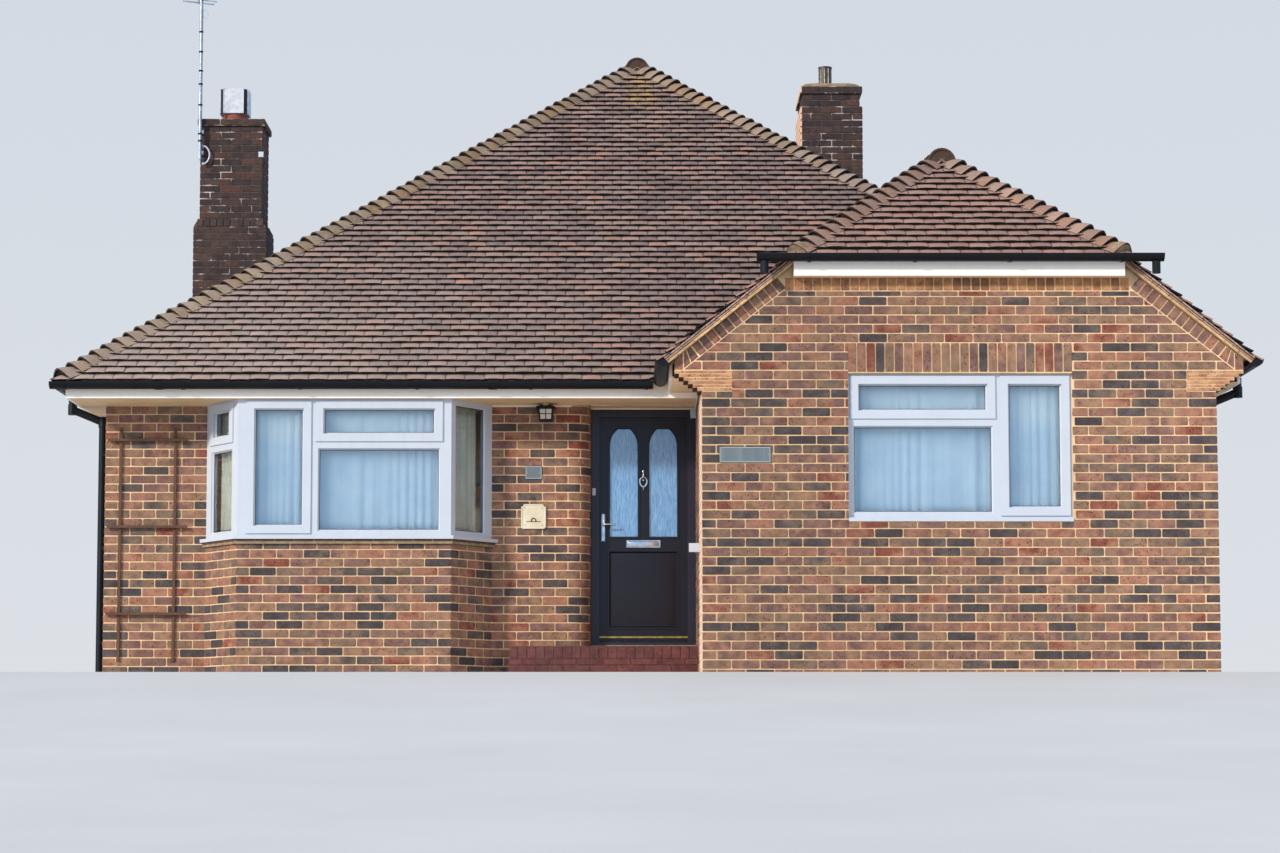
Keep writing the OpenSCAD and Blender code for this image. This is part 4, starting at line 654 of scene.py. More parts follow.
class Solids:
    """Closed solids gathered into one piece; each solid has its own tone."""

    def __init__(self):
        self.points, self.faces, self.tones = [], [], []

    def add(self, points, faces, tone=None):
        """One solid; without a tone of its own it gets a random one."""
        start = len(self.points)
        self.points += [tuple(p) for p in points]
        self.faces += [[start + i for i in f] for f in faces]
        self.tones += [dice.random() if tone is None else tone] * len(points)

    def loft(self, rings, tone=None, closed=False):
        """Joins rings of points, with a cap on each end unless the rings close on themselves."""
        count = len(rings[0])
        steps = list(zip(range(len(rings)), range(1, len(rings)))) + ([(len(rings) - 1, 0)] if closed else [])
        faces = [[a * count + i, a * count + (i + 1) % count, b * count + (i + 1) % count, b * count + i]
                 for a, b in steps for i in range(count)]
        if not closed:
            faces += [list(range(count))[::-1], [(len(rings) - 1) * count + i for i in range(count)]]
        self.add([p for ring in rings for p in ring], faces, tone)

    def box(self, low, high, tone=None):
        x, y, z = zip(low, high)
        self.loft([[(x[0], y[0], h), (x[1], y[0], h), (x[1], y[1], h), (x[0], y[1], h)] for h in z], tone)

    def tube(self, path, radius, sides=12, tone=None):
        """A round rod along a path; radius may be one number or one for each point."""
        path = [Vector(p) for p in path]
        radii = radius if hasattr(radius, "__len__") else [radius] * len(path)
        lines = [(b - a).normalized() for a, b in zip(path, path[1:])]
        ways = [lines[0]] + [(a + b).normalized() for a, b in zip(lines, lines[1:])] + [lines[-1]]
        side = ways[0].orthogonal().normalized()
        rings = []
        for point, way, r in zip(path, ways, radii):
            side = (side - way * side.dot(way)).normalized()
            up = way.cross(side)
            rings.append([point + side * r * cos(a) + up * r * sin(a) for a in arc(0, 2 * pi, sides)[:-1]])
        self.loft(rings, tone)

    def turned(self, outline, centre, sides=24, axis=(0, 0, 1), tone=None):
        """An outline of (radius, height) turned round an axis, with both ends on it or else hollow."""
        turn = Vector((0, 0, 1)).rotation_difference(Vector(axis)).to_matrix()
        rings = [[Vector(centre) + turn @ Vector((r * cos(a), r * sin(a), z))
                  for a in arc(0, 2 * pi, sides)[:-1]] for r, z in outline if r > 0]
        self.loft(rings, tone, closed=outline[0][0] > 0)

    def piece(self, name, finish, slot=None, body="root", smooth=None, bevel=0.0):
        mesh = bpy.data.meshes.new(name)
        mesh.from_pydata(self.points, [], self.faces)
        mesh.attributes.new("tone", "FLOAT", "POINT").data.foreach_set("value", self.tones)
        face_outwards(mesh)
        return settle(name, mesh, finish, body, smooth, bevel)


def settle(name, mesh, finish, body="root", smooth=None, bevel=0.0):
    """Puts a finished mesh in the scene as a piece that rides on a body."""
    piece = bpy.data.objects.new(name, mesh)
    bpy.context.scene.collection.objects.link(piece)
    if finish and not mesh.materials:
        mesh.materials.append(finish)
    if bevel:
        rounding = piece.modifiers.new("edges", "BEVEL")
        rounding.width, rounding.segments, rounding.limit_method = bevel, 2, "ANGLE"
        rounding.harden_normals = False
    if smooth is not None:
        mesh.shade_smooth()
        mesh.set_sharp_from_angle(angle=radians(smooth))
    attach(piece, body)
    return piece


def laying_tree():
    """Lays a piece on every point, turned and sized by the point's own values, with a small random tilt."""
    tree = bpy.data.node_groups.new("lay_pieces", "GeometryNodeTree")
    sockets = tree.interface
    for label, kind in (("Points", "Geometry"), ("Piece", "Object"), ("Finish", "Material"),
                        ("Tilt", "Float"), ("Seed", "Int")):
        sockets.new_socket(label, in_out="INPUT", socket_type="NodeSocket" + kind)
    sockets.new_socket("Laid", in_out="OUTPUT", socket_type="NodeSocketGeometry")

    def put(kind, **settings):
        node = tree.nodes.new(kind)
        for name, value in settings.items():
            setattr(node, name, value)
        return node

    given, made = put("NodeGroupInput"), put("NodeGroupOutput")
    link = tree.links.new
    info = put("GeometryNodeObjectInfo")
    lay = put("GeometryNodeInstanceOnPoints")
    turn = put("GeometryNodeInputNamedAttribute", data_type="FLOAT_VECTOR")
    size = put("GeometryNodeInputNamedAttribute", data_type="FLOAT_VECTOR")
    turn.inputs["Name"].default_value, size.inputs["Name"].default_value = "turn", "size"
    chance = put("FunctionNodeRandomValue", data_type="FLOAT_VECTOR")
    low = put("ShaderNodeMath", operation="MULTIPLY")
    low.inputs[1].default_value = -1
    both = put("ShaderNodeVectorMath", operation="ADD")
    real, coat = put("GeometryNodeRealizeInstances"), put("GeometryNodeSetMaterial")
    link(given.outputs["Points"], lay.inputs["Points"])
    link(given.outputs["Piece"], info.inputs["Object"])
    link(info.outputs["Geometry"], lay.inputs["Instance"])
    link(given.outputs["Tilt"], low.inputs[0])
    link(low.outputs[0], chance.inputs[0])
    link(given.outputs["Tilt"], chance.inputs[1])
    link(given.outputs["Seed"], chance.inputs["Seed"])
    link(turn.outputs[0], both.inputs[0])
    link(chance.outputs[0], both.inputs[1])
    link(both.outputs[0], lay.inputs["Rotation"])
    link(size.outputs[0], lay.inputs["Scale"])
    link(lay.outputs[0], real.inputs[0])
    link(real.outputs[0], coat.inputs["Geometry"])
    link(given.outputs["Finish"], coat.inputs["Material"])
    link(coat.outputs[0], made.inputs[0])
    return tree


LAYING = laying_tree()


def lay(name, pattern, places, finish, slot, tilt=0.0, seed=1, planes=()):
    """Lays a pattern mesh at every place (point, turn, size, tone) and cuts the result at the planes."""
    points = bpy.data.meshes.new(name + "_places")
    points.from_pydata([p[0] for p in places], [], [])
    columns = (("turn", "FLOAT_VECTOR", 1), ("size", "FLOAT_VECTOR", 2), ("tone", "FLOAT", 3))
    for label, kind, column in columns:
        values = np.array([p[column] for p in places], np.float32).ravel()
        member = "vector" if kind == "FLOAT_VECTOR" else "value"
        points.attributes.new(label, kind, "POINT").data.foreach_set(member, values)
    holder = bpy.data.objects.new(name + "_places", points)
    stamp = bpy.data.objects.new(name + "_stamp", pattern)
    bpy.context.scene.collection.objects.link(holder)
    modifier = holder.modifiers.new("laying", "NODES")
    modifier.node_group = LAYING
    values = {"Piece": stamp, "Finish": finish, "Tilt": tilt, "Seed": seed}
    for item in LAYING.interface.items_tree:
        if item.in_out == "INPUT" and item.name in values:
            modifier[item.identifier] = values[item.name]
    depsgraph = bpy.context.evaluated_depsgraph_get()
    mesh = bpy.data.meshes.new_from_object(holder.evaluated_get(depsgraph), depsgraph=depsgraph)
    mesh.name = name
    bpy.data.objects.remove(holder)
    bpy.data.objects.remove(stamp)
    for label in ("turn", "size"):
        if label in mesh.attributes:
            mesh.attributes.remove(mesh.attributes[label])
    if planes:
        work = bmesh.new()
        work.from_mesh(mesh)
        for point, away in planes:
            parts = work.verts[:] + work.edges[:] + work.faces[:]
            found = bmesh.ops.bisect_plane(work, geom=parts, dist=1e-5, plane_co=point, plane_no=away,
                                           clear_outer=True)
            cut = [e for e in found["geom_cut"] if isinstance(e, bmesh.types.BMEdge)]
            bmesh.ops.holes_fill(work, edges=cut, sides=0)
        work.to_mesh(mesh)
        work.free()
    return settle(name, mesh, finish)


# Roof tiles

# A tile's width and thickness, how deep it lies in the roof's slab and the gap under its tail
TILE_W, TILE_T, TILE_SINK, TAIL_GAP = 0.165, 0.014, 0.020, 0.006
# How far the lowest tails pass the eaves, on plan, how much lower they lie and how far tiles pass a verge
TAIL_OUT, TAIL_DROP, TILE_OVER = 0.047, 0.008, 0.016
# Courses from the eaves to the ridge, the distance between them and how many of those a tile is long
COURSES = round(EAVE_X / cos(RISE) / 0.1031)
GAUGE = EAVE_X / cos(RISE) / COURSES
LAP = 1.22


def tile_pattern(width, length, thick, lean, camber=0.004, columns=3):
    """A plain tile, cambered across, with its tail at y = 0 and its underside leaning down to its head."""
    mesh = bpy.data.meshes.new("tile_pattern")
    points, faces, rim = [], [], []
    for y in (0.0, length):
        for side in (0, 1):
            for i in range(columns + 1):
                x = (i / columns - 0.5) * width
                bow = camber * (1 - (2 * i / columns - 1) ** 2)
                points.append((x, y, lean * (1 - y / length) + bow + side * thick))
    n = columns + 1
    for a in range(columns):
        faces += [[a, a + 1, a + n + 1, a + n], [a, a + 2 * n, a + 2 * n + 1, a + 1],
                  [a + n, a + n + 1, a + 3 * n + 1, a + 3 * n],
                  [a + 2 * n, a + 3 * n, a + 3 * n + 1, a + 2 * n + 1]]
        # The tail end and the underside are in painted shade, the top and the head are not
        rim += [1.0, 1.0, 0.0, 0.0]
    faces += [[0, n, 3 * n, 2 * n], [n - 1, 3 * n - 1, 4 * n - 1, 2 * n - 1]]
    # The sides get a little painted shade
    rim += [0.2, 0.2]
    mesh.from_pydata(points, [], faces)
    mesh.attributes.new("rim", "FLOAT", "FACE").data.foreach_set("value", rim)
    for name, axis, size in (("under", 1, length), ("across", 0, width)):
        values = [p[axis] / size for p in points]
        mesh.attributes.new(name, "FLOAT", "POINT").data.foreach_set("value", values)
    return mesh


TILE = tile_pattern(TILE_W - 0.004, GAUGE * LAP, TILE_T, TILE_T * LAP + TAIL_GAP)


def tiled_slope(name, start, along, inward, outline, planes, eave_z=EAVE_Z, holes=(), seed=1):
    """Tiles one slope: start is a point on its eaves line, along and inward are level directions."""
    along, inward = Vector(along), Vector(inward)
    up = (inward + Vector((0, 0, SLOPE))).normalized()
    normal = along.cross(up)
    turn = Matrix((along, up, normal)).transposed().to_euler()
    places = []
    for row in range(COURSES + 2):
        plan_in = row * GAUGE * cos(RISE) - TAIL_OUT
        spans = crossing(outline, max(plan_in + 0.3 * GAUGE, 0.0005))
        for a0, a1 in spans:
            drift = 0.5 * (row % 2) + 0.03 * (dice.random() - 0.5)
            for i in range(floor(a0 / TILE_W - drift) - 1, ceil(a1 / TILE_W - drift) + 1):
                a = (i + drift + 0.5) * TILE_W + 0.0015 * (dice.random() - 0.5)
                if a + TILE_W / 2 < a0 - 0.02 or a - TILE_W / 2 > a1 + 0.02:
                    continue
                point = Vector(start) + along * a + inward * plan_in
                point.z = eave_z + plan_in * SLOPE
                if any(h[0] < point.x < h[2] and h[1] < point.y < h[3] for h in holes):
                    continue
                point += normal * (TILE_T - TILE_SINK + 0.0025 * dice.random() - (0 if row else TAIL_DROP))
                places.append((point, turn, (1, 1, 0.95 + 0.14 * dice.random()), dice.random()))
    lay(name, TILE, places, ROOF_TILE, "roof_tile", 0.006, seed, planes)


def crossing(outline, depth):
    """Where a level line at this depth inside the eaves crosses the outline, as spans along it."""
    marks = []
    for (a0, d0), (a1, d1) in zip(outline, outline[1:] + outline[:1]):
        if (d0 <= depth) != (d1 <= depth):
            marks.append(a0 + (a1 - a0) * (depth - d0) / (d1 - d0))
    marks.sort()
    return list(zip(marks[::2], marks[1::2]))


def hip_plane(point, toward, away):
    """The upright plane through a hip or valley line on plan, pointing away from the slope."""
    run = Vector((toward[0] - point[0], toward[1] - point[1], 0))
    side = run.cross(Vector((0, 0, 1))).normalized()
    if side.dot(Vector((*away, 0))) < 0:
        side = -side
    return Vector((*point, 0)), side


def cross_plane(y, way):
    """An upright plane across the house that cuts off what lies past y, backwards or forwards."""
    return Vector((0, y, 0)), Vector((0, way, 0))


# Half the width of the open valley, where the tiles end at the verge and how far up its slope that is
VALLEY = 0.035
TILE_VERGE = VERGE_Y - TILE_OVER
VERGE_IN = WING_HALF - (WING_RIDGE_Y - TILE_VERGE)
diagonal = Vector((1, -1, 0)).normalized()
valley_foot = Vector((WING_EAVE, EAVE_FRONT, 0))
left_low, left_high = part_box("left_chimney")
right_low, right_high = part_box("right_chimney")
shafts = [(low.x - 0.01, low.y - 0.01, high.x + 0.01, high.y + 0.01)
          for low, high in ((left_low, left_high), (right_low, right_high))]

tiled_slope("tiles_front", (0, EAVE_FRONT, 0), (1, 0, 0), (0, 1, 0),
            [(-EAVE_X, 0), (WING_EAVE, 0), (WING_MID, WING_HALF), (0, EAVE_X)],
            [hip_plane(FRONT_FOOT, FRONT_TOP, (-1, 0)), hip_plane(FRONT_TOP, WING_JOIN, (1, 0)),
             (valley_foot - diagonal * VALLEY, diagonal)], holes=shafts, seed=1)
tiled_slope("tiles_left", (-EAVE_X, 0, 0), (0, -1, 0), (1, 0, 0),
            [(-EAVE_REAR, 0), (-EAVE_FRONT, 0), (-RIDGE_FRONT, EAVE_X), (-RIDGE_REAR, EAVE_X)],
            [hip_plane(FRONT_FOOT, FRONT_TOP, (0, -1)), hip_plane(LEFT_FOOT, REAR_TOP, (0, 1))],
            holes=shafts, seed=2)
tiled_slope("tiles_rear", (0, EAVE_REAR, 0), (-1, 0, 0), (0, -1, 0), [(-EAVE_X, 0), (EAVE_X, 0), (0, EAVE_X)],
            [hip_plane(LEFT_FOOT, REAR_TOP, (-1, 0)), hip_plane(RIGHT_FOOT, REAR_TOP, (1, 0))],
            holes=shafts, seed=3)
tiled_slope("tiles_right", (EAVE_X, 0, 0), (0, 1, 0), (-1, 0, 0),
            [(WING_JOIN_Y, 0), (EAVE_REAR, 0), (RIDGE_REAR, EAVE_X), (RIDGE_FRONT, EAVE_X),
             (WING_JOIN_Y, WING_HALF)],
            [hip_plane(RIGHT_FOOT, REAR_TOP, (0, 1)), hip_plane(FRONT_TOP, WING_JOIN, (-1, -1)),
             cross_plane(WING_JOIN_Y, -1)], holes=shafts, seed=4)
tiled_slope("tiles_wing_right", (EAVE_X, 0, 0), (0, 1, 0), (-1, 0, 0),
            [(TILE_VERGE, 0), (WING_JOIN_Y, 0), (WING_JOIN_Y, WING_HALF), (WING_RIDGE_Y, WING_HALF),
             (TILE_VERGE, VERGE_IN)],
            [hip_plane(HALF_HIP_RIGHT, WING_TOP, (-1, -1)), cross_plane(WING_JOIN_Y, 1),
             cross_plane(TILE_VERGE, -1)], seed=5)
tiled_slope("tiles_wing_left", (WING_EAVE, 0, 0), (0, -1, 0), (1, 0, 0),
            [(-EAVE_FRONT, 0), (-TILE_VERGE, 0), (-TILE_VERGE, VERGE_IN), (-WING_RIDGE_Y, WING_HALF),
             (-WING_JOIN_Y, WING_HALF)],
            [hip_plane(HALF_HIP_LEFT, WING_TOP, (1, -1)), (valley_foot + diagonal * VALLEY, -diagonal),
             cross_plane(TILE_VERGE, -1)], seed=6)
tiled_slope("tiles_half_hip", (WING_MID, HALF_HIP_Y, 0), (1, 0, 0), (0, 1, 0),
            [(HALF_HIP_RUN - WING_HALF, 0), (WING_HALF - HALF_HIP_RUN, 0), (0, WING_HALF - HALF_HIP_RUN)],
            [hip_plane(HALF_HIP_LEFT, WING_TOP, (-1, 0)), hip_plane(HALF_HIP_RIGHT, WING_TOP, (1, 0))],
            eave_z=HALF_HIP_Z, seed=7)


# Bonnets and ridge tiles

def bonnet_pattern(length, columns=10):
    """A bonnet tile over a hip: x across, y up the hip, with the mortar that beds its raised tail; the mortar
    and the tail carry painted shade.
    """
    mesh = bpy.data.meshes.new("bonnet_pattern")
    points, faces, rim = [], [], []
    n = columns + 1

    def shell(rings, tail, rest):
        """One layer from rings of (y, half width, crest, border, floor); tail and rest are the painted shade
        of its tail end and sides, and of its top and head; its underside is all in painted shade.
        """
        start = len(points)
        for y, half, crest, border, floor_at in rings:
            for under in (1, 0):
                for i in range(n):
                    u = 2 * i / columns - 1
                    x = u * half
                    plane = -0.49 * sqrt(x * x + 0.03 ** 2)
                    top = plane + border + (crest - border) * (1 - u * u)
                    z = top - 0.015 * under
                    if under and floor_at is not None:
                        z = max(plane + floor_at, top - 0.05)
                    points.append((x, y, z))
        for ring in range(len(rings) - 1):
            for i in range(columns):
                a = start + ring * 2 * n + i
                faces.extend([[a, a + 2 * n, a + 2 * n + 1, a + 1],
                              [a + n, a + n + 1, a + 3 * n + 1, a + 3 * n]])
                rim.extend([1.0, rest])
            a = start + ring * 2 * n
            faces.extend([[a, a + n, a + 3 * n, a + 2 * n],
                          [a + n - 1, a + 3 * n - 1, a + 4 * n - 1, a + 2 * n - 1]])
            rim.extend([tail, tail])
        for i in range(columns):
            a, b = start + i, start + (len(rings) - 1) * 2 * n + i
            faces.extend([[a, a + 1, a + n + 1, a + n], [b, b + n, b + n + 1, b + 1]])
            rim.extend([tail, rest])

    # The tile with painted shade on its tail, then the mortar bed under the tail, all in painted shade
    shell([(0.0, 0.130, 0.092, 0.044, None), (length * 0.35, 0.122, 0.076, 0.034, None),
           (length, 0.106, 0.030, 0.010, None)], 0.85, 0.0)
    shell([(0.012, 0.120, 0.080, 0.024, -0.02), (0.10, 0.108, 0.048, 0.012, -0.02)], 1.0, 1.0)
    mesh.from_pydata(points, [], faces)
    mesh.attributes.new("rim", "FLOAT", "FACE").data.foreach_set("value", rim)
    mesh.shade_smooth()
    mesh.set_sharp_from_angle(angle=radians(40))
    return mesh


BONNET = bonnet_pattern(0.185)


def bonnet_places(foot, top, z):
    """Places of the bonnets of one hip, from its foot on plan to its top."""
    way = Vector((top[0] - foot[0], top[1] - foot[1], 0))
    steps = round(abs(way.x) / (GAUGE * cos(RISE)))
    way.z = abs(way.x) * SLOPE
    turn = axes_along(way).to_euler()
    return [(Vector((*foot, z)) + way * (i + 0.15) / steps, turn,
             (1, 1, 0.95 + 0.12 * dice.random()), dice.random()) for i in range(steps)]


hips = [(FRONT_FOOT, FRONT_TOP, EAVE_Z), (LEFT_FOOT, REAR_TOP, EAVE_Z), (RIGHT_FOOT, REAR_TOP, EAVE_Z),
        (WING_JOIN, FRONT_TOP, WING_RIDGE_Z), (HALF_HIP_LEFT, WING_TOP, HALF_HIP_Z),
        (HALF_HIP_RIGHT, WING_TOP, HALF_HIP_Z)]
bonnets = lay("bonnet_hips", BONNET, [p for hip in hips for p in bonnet_places(*hip)], HIP_TILE, "roof_tile",
              0.02, 8, [cross_plane(cad_box[0].y + 0.004, -1), cross_plane(cad_box[1].y - 0.004, 1),
                        (Vector((cad_box[1].x - 0.002, 0, 0)), Vector((1, 0, 0)))])
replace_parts(bonnets, "hip_tiles")

plugs = Solids()
plug_line = [(0.108 * cos(a), 0.100 * sin(a) ** 1.3 - 0.03) for a in arc(0, pi, 12)]
plug_line = [(-0.104, -0.062), *plug_line[::-1], (0.104, -0.062)]
for foot, side in ((HALF_HIP_LEFT, 1), (HALF_HIP_RIGHT, -1)):
    turn = axes_along(Vector((side, 1, SLOPE)))
    start = Vector((*foot, HALF_HIP_Z)) + turn.col[1] * 0.032
    plugs.loft([[start + turn @ Vector((u * grow, y, v * grow)) for u, v in plug_line]
                for y, grow in ((-0.014, 0.86), (-0.004, 1.0), (0.05, 0.98))], 0.5)
plugs.piece("hip_foot_plugs", CEMENT, "roof_tile", smooth=30)


# Brickwork

# Half a brick with its joint, a course with its bed, and the height and the end of a brick
HALF, BED, BRICK_H, END = 0.1125, 0.075, 0.065, 0.1025
# The joints, how far bricks stand out of the wall and how deep their faces are set into it
JOINT, PROUD, SKIN = 0.010, 0.004, 0.012
COPE = END + JOINT
# Past every wall
FAR = 9
corbel_low, corbel_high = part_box("corbels")
CORBEL_ROWS, CORBEL_ROW, CORBEL_IN = 6, 0.028, 0.237
CORBEL_Z, CORBEL_TOP = corbel_low.z, corbel_low.z + CORBEL_ROWS * CORBEL_ROW
COURSE_Z = CORBEL_TOP + 0.004 - 32 * BED


def brick_pattern(depth_cut):
    """A brick with its face at y = -0.5 and worn corners; depth_cut is where its rounding starts."""
    mesh = bpy.data.meshes.new("brick_pattern")
    points = []
    for y, shrink in ((0.5, 0.0), (-0.5 + depth_cut, 0.0), (-0.5, 1.0)):
        x, z = 0.5 - 0.011 * shrink, 0.5 - 0.045 * shrink
        cut_x, cut_z = 0.030, 0.10
        points += [(-x + cut_x, y, -z), (x - cut_x, y, -z), (x, y, -z + cut_z), (x, y, z - cut_z),
                   (x - cut_x, y, z), (-x + cut_x, y, z), (-x, y, z - cut_z), (-x, y, -z + cut_z)]
    faces = [list(range(8))[::-1], list(range(16, 24))]
    faces += [[a + i, a + (i + 1) % 8, a + 8 + (i + 1) % 8, a + 8 + i] for a in (0, 8) for i in range(8)]
    mesh.from_pydata(points, [], faces)
    face_outwards(mesh)
    return mesh


FACE_BRICK, CORNER_BRICK = brick_pattern(0.2), brick_pattern(0.03)


def outside(span, left, right, foot, top):
    """The parts of a brick (u0, u1, z0, z1) that are left outside an opening."""
    u0, u1, z0, z1 = span
    if z0 >= top - 0.004 or z1 <= foot + 0.004 or u0 >= right or u1 <= left:
        return [span]
    middle = max(u0, left), min(u1, right)
    parts = [(u0, min(u1, left), z0, z1), (max(u0, right), u1, z0, z1),
             (*middle, z0, foot - 0.006), (*middle, top + 0.006, z1)]
    return [p for p in parts if p[1] - p[0] > 0.02 and p[3] - p[2] > 0.025]


def bond(length, low, high, corners=(None, None), openings=(), first=COURSE_Z, past=0):
    """Stretcher bond: (u0, u1, z0, z1, is_corner) of each brick. A corner is 0 or 1, the rows in which
    this wall has the corner brick, or None where the wall ends without one. Past is how many half
    bricks the rows run on at both ends."""
    fit, both = (length + JOINT) / HALF, None not in corners
    odd = both and corners[0] != corners[1]
    halves = 2 * round((fit - odd) / 2) + odd if both else round(fit)
    half = (length + JOINT) / halves
    bricks = []
    for row in range(floor((low - first) / BED), ceil((high - first) / BED)):
        z0, z1 = max(first + row * BED, low + 0.002), min(first + row * BED + BRICK_H, high)
        if z1 - z0 < 0.018:
            continue
        owns = [c is not None and row % 2 == c and not past for c in corners]
        a = -past if corners[0] is None or owns[0] or past else 1
        b = halves + past if corners[1] is None or owns[1] or past else halves - 1
        if corners[0] is not None:
            shift = (row + corners[0]) % 2
        elif corners[1] is not None:
            shift = (halves + row + corners[1]) % 2
        else:
            shift = row % 2
        for h in range(-shift - 2 * past, halves + 1 + past, 2):
            h0, h1 = max(h, a), min(h + 2, b)
            if h1 <= h0:
                continue
            spans = [(h0 * half, h1 * half - JOINT, z0, z1)]
            for gap in openings:
                spans = [part for span in spans for part in outside(span, *gap)]
            left, right = owns[0] and h0 == 0, owns[1] and h1 == halves
            bricks += [(u0 - PROUD * left, u1 + PROUD * right, foot, top, left or right)
                       for u0, u1, foot, top in spans]
    return bricks


class Wall:
    """Bricks on the faces of a wall, gathered for laying."""

    def __init__(self):
        self.face, self.corner = [], []

    def brick(self, origin, way, u0, u1, z0, z1, deep=False, tone=None):
        """One brick, from u0 to u1 along the wall and from z0 to z1 up it; a deep one shows its end too."""
        way = Vector(way).normalized()
        out = way.cross(Vector((0, 0, 1)))
        depth = END if deep else SKIN
        middle = Vector(origin) + way * (u0 + u1) / 2 + out * (PROUD - depth) / 2
        middle.z += (z0 + z1) / 2
        size = (u1 - u0, depth + PROUD, z1 - z0)
        place = (middle + out * 0.001 * dice.random(), Euler((0, 0, atan2(way.y, way.x))), size,
                 dice.random() if tone is None else tone)
        (self.corner if deep else self.face).append(place)

    def rows(self, origin, way, bricks, drop=lambda point: False):
        """Bricks in their places along a wall, without those whose middle is dropped."""
        for u0, u1, z0, z1, deep in bricks:
            middle = Vector(origin) + Vector(way).normalized() * (u0 + u1) / 2 + Vector((0, 0, (z0 + z1) / 2))
            if not drop(middle):
                self.brick(origin, way, u0, u1, z0, z1, deep)

    def soldiers(self, origin, way, u0, u1, z0, z1, pitch=BED):
        """Upright bricks side by side."""
        count = round((u1 - u0) / pitch)
        step = (u1 - u0 + JOINT) / count
        for i in range(count):
            self.brick(origin, way, u0 + i * step, u0 + (i + 1) * step - JOINT, z0, z1)

    def piece(self, name, finish, slot, seed, planes=()):
        if self.face:
            lay(name, FACE_BRICK, self.face, finish, slot, 0.004, seed, planes)
        if self.corner:
            lay(name + "_corners", CORNER_BRICK, self.corner, finish, slot, 0.002, seed + 1, planes)


SOFFIT_Z = 2.365
wing_low, wing_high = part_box("wing_window_frame")
window_gap = (wing_low.x - WING_X, wing_high.x - WING_X)
# The roof's thickness, measured upright
ROOF_DEPTH = 0.060 / cos(RISE)


def verge_line(x):
    """Height of the underside of the roof over the wing's front wall."""
    return EAVE_Z + min(x - WING_EAVE, EAVE_X - x) * SLOPE - ROOF_DEPTH


def up_verge(side):
    """The direction up the wing's verge on one side, and the direction square to it into the wall."""
    return Vector((side * cos(RISE), 0, sin(RISE))), Vector((side * sin(RISE), 0, -cos(RISE)))


wing = Wall()
WING_W = RIGHT - WING_X
HEAD_Z = HALF_HIP_Z - 0.174
ROW_TOP = COURSE_Z + 34 * BED + BRICK_H
WINDOW = (*window_gap, wing_low.z, wing_high.z)
LINTEL = (*window_gap, wing_high.z - 0.01, ROW_TOP)
KNEELERS = [(-1, CORBEL_IN, CORBEL_Z, FAR), (WING_W - CORBEL_IN, FAR, CORBEL_Z, FAR)]
wing.rows((WING_X, WING_Y, 0), (1, 0, 0), bond(WING_W, 0, CORBEL_TOP, (0, 0), [WINDOW, LINTEL, *KNEELERS]))
wing.rows((WING_X, WING_Y, 0), (1, 0, 0),
          bond(WING_W, CORBEL_TOP + 0.004, HEAD_Z - COPE, (0, 0), [WINDOW, LINTEL], past=3))
wing.soldiers((WING_X, WING_Y, 0), (1, 0, 0), LINTEL[0], LINTEL[1], wing_high.z + 0.012, ROW_TOP)
cuts = []
for side, x in ((1, WING_X), (-1, RIGHT)):
    out = -up_verge(side)[1]
    cuts.append((Vector((x, WING_Y, verge_line(x))) - out * COPE, out))
wing.piece("bricks_wing_front", BRICK, "brick", 20, cuts)

head = Wall()
head_in = (HEAD_Z + ROOF_DEPTH - EAVE_Z) / SLOPE - (WING_X - WING_EAVE)
head_run = WING_W - 2 * head_in - 0.12
for i in range(round(head_run / BED)):
    head.brick((WING_X + head_in + 0.06, WING_Y, 0), (1, 0, 0), i * BED, (i + 1) * BED - JOINT,
               HEAD_Z - END, HEAD_Z - 0.002, tone=0.15 + 0.6 * dice.random())
head.piece("bricks_wing_head", HEAD_BRICK, "brick", 24)

TIP, TIP_RIGHT = corbel_low.x, corbel_high.x
FAN_END = 0.172
sloping, fan = [], Solids()
for side, low_x in ((1, TIP), (-1, TIP_RIGHT)):
    way, inward = up_verge(side)
    start = Vector((low_x, WING_Y, verge_line(low_x)))
    run = (head_in + WING_X - TIP) / cos(RISE) - FAN_END
    count = round(run / BED)
    turn = Matrix((way * side, Vector((0, 1, 0)), -inward)).transposed().to_euler()
    for i in range(count):
        middle = start + way * (FAN_END + (i + 0.5) * run / count) + inward * END / 2
        middle.y -= (PROUD - SKIN) / 2 + 0.0005
        sloping.append((middle, turn, (run / count - JOINT, SKIN + PROUD, END), 0.5 + 0.42 * dice.random()))
    bed_z = CORBEL_TOP + 0.005
    wedges = [[Vector((low_x - side * 0.003, WING_Y, bed_z)), Vector((low_x + side * 0.064, WING_Y, bed_z)),
               start + way * 0.080 + inward * 0.004, start + inward * 0.004 + Vector((-side * 0.003, 0, 0))]]
    for t0, t1, s0, s1 in ((0.093, 0.114, 0.014, 0.080), (0.124, 0.164, 0.090, 0.162)):
        wedges.append([start + inward * END + way * s0, start + inward * END + way * s1,
                       start + inward * 0.004 + way * t1, start + inward * 0.004 + way * t0])
    for corners in wedges:
        centre = sum(corners, Vector()) / 4
        fan.loft([[p + (centre - p) * shrink + Vector((0, y, 0)) for p in corners]
                  for y, shrink in ((0.012, 0.0), (-0.002, 0.0), (-PROUD, 0.06))], 0.5 + 0.42 * dice.random())
lay("bricks_wing_verges", FACE_BRICK, sloping, BRICK, "brick", 0.004, 26)
fan.piece("bricks_verge_fans", BRICK, "brick")

verge_ends = Solids()
VERGE_REACH = (HALF_HIP_RUN + 0.02) / cos(RISE)
# Tile ends, the under-course and the cement bed: from and to how deep, how far out, how long, their tones
VERGE_LAYERS = ((0.001, 0.013, 0.011, GAUGE, (0.25, 0.55)), (0.020, 0.030, 0.007, GAUGE * 1.6, (0.3, 0.6)),
                (0.036, 0.056, 0.009, 0.25, (0.8, 1.0)))


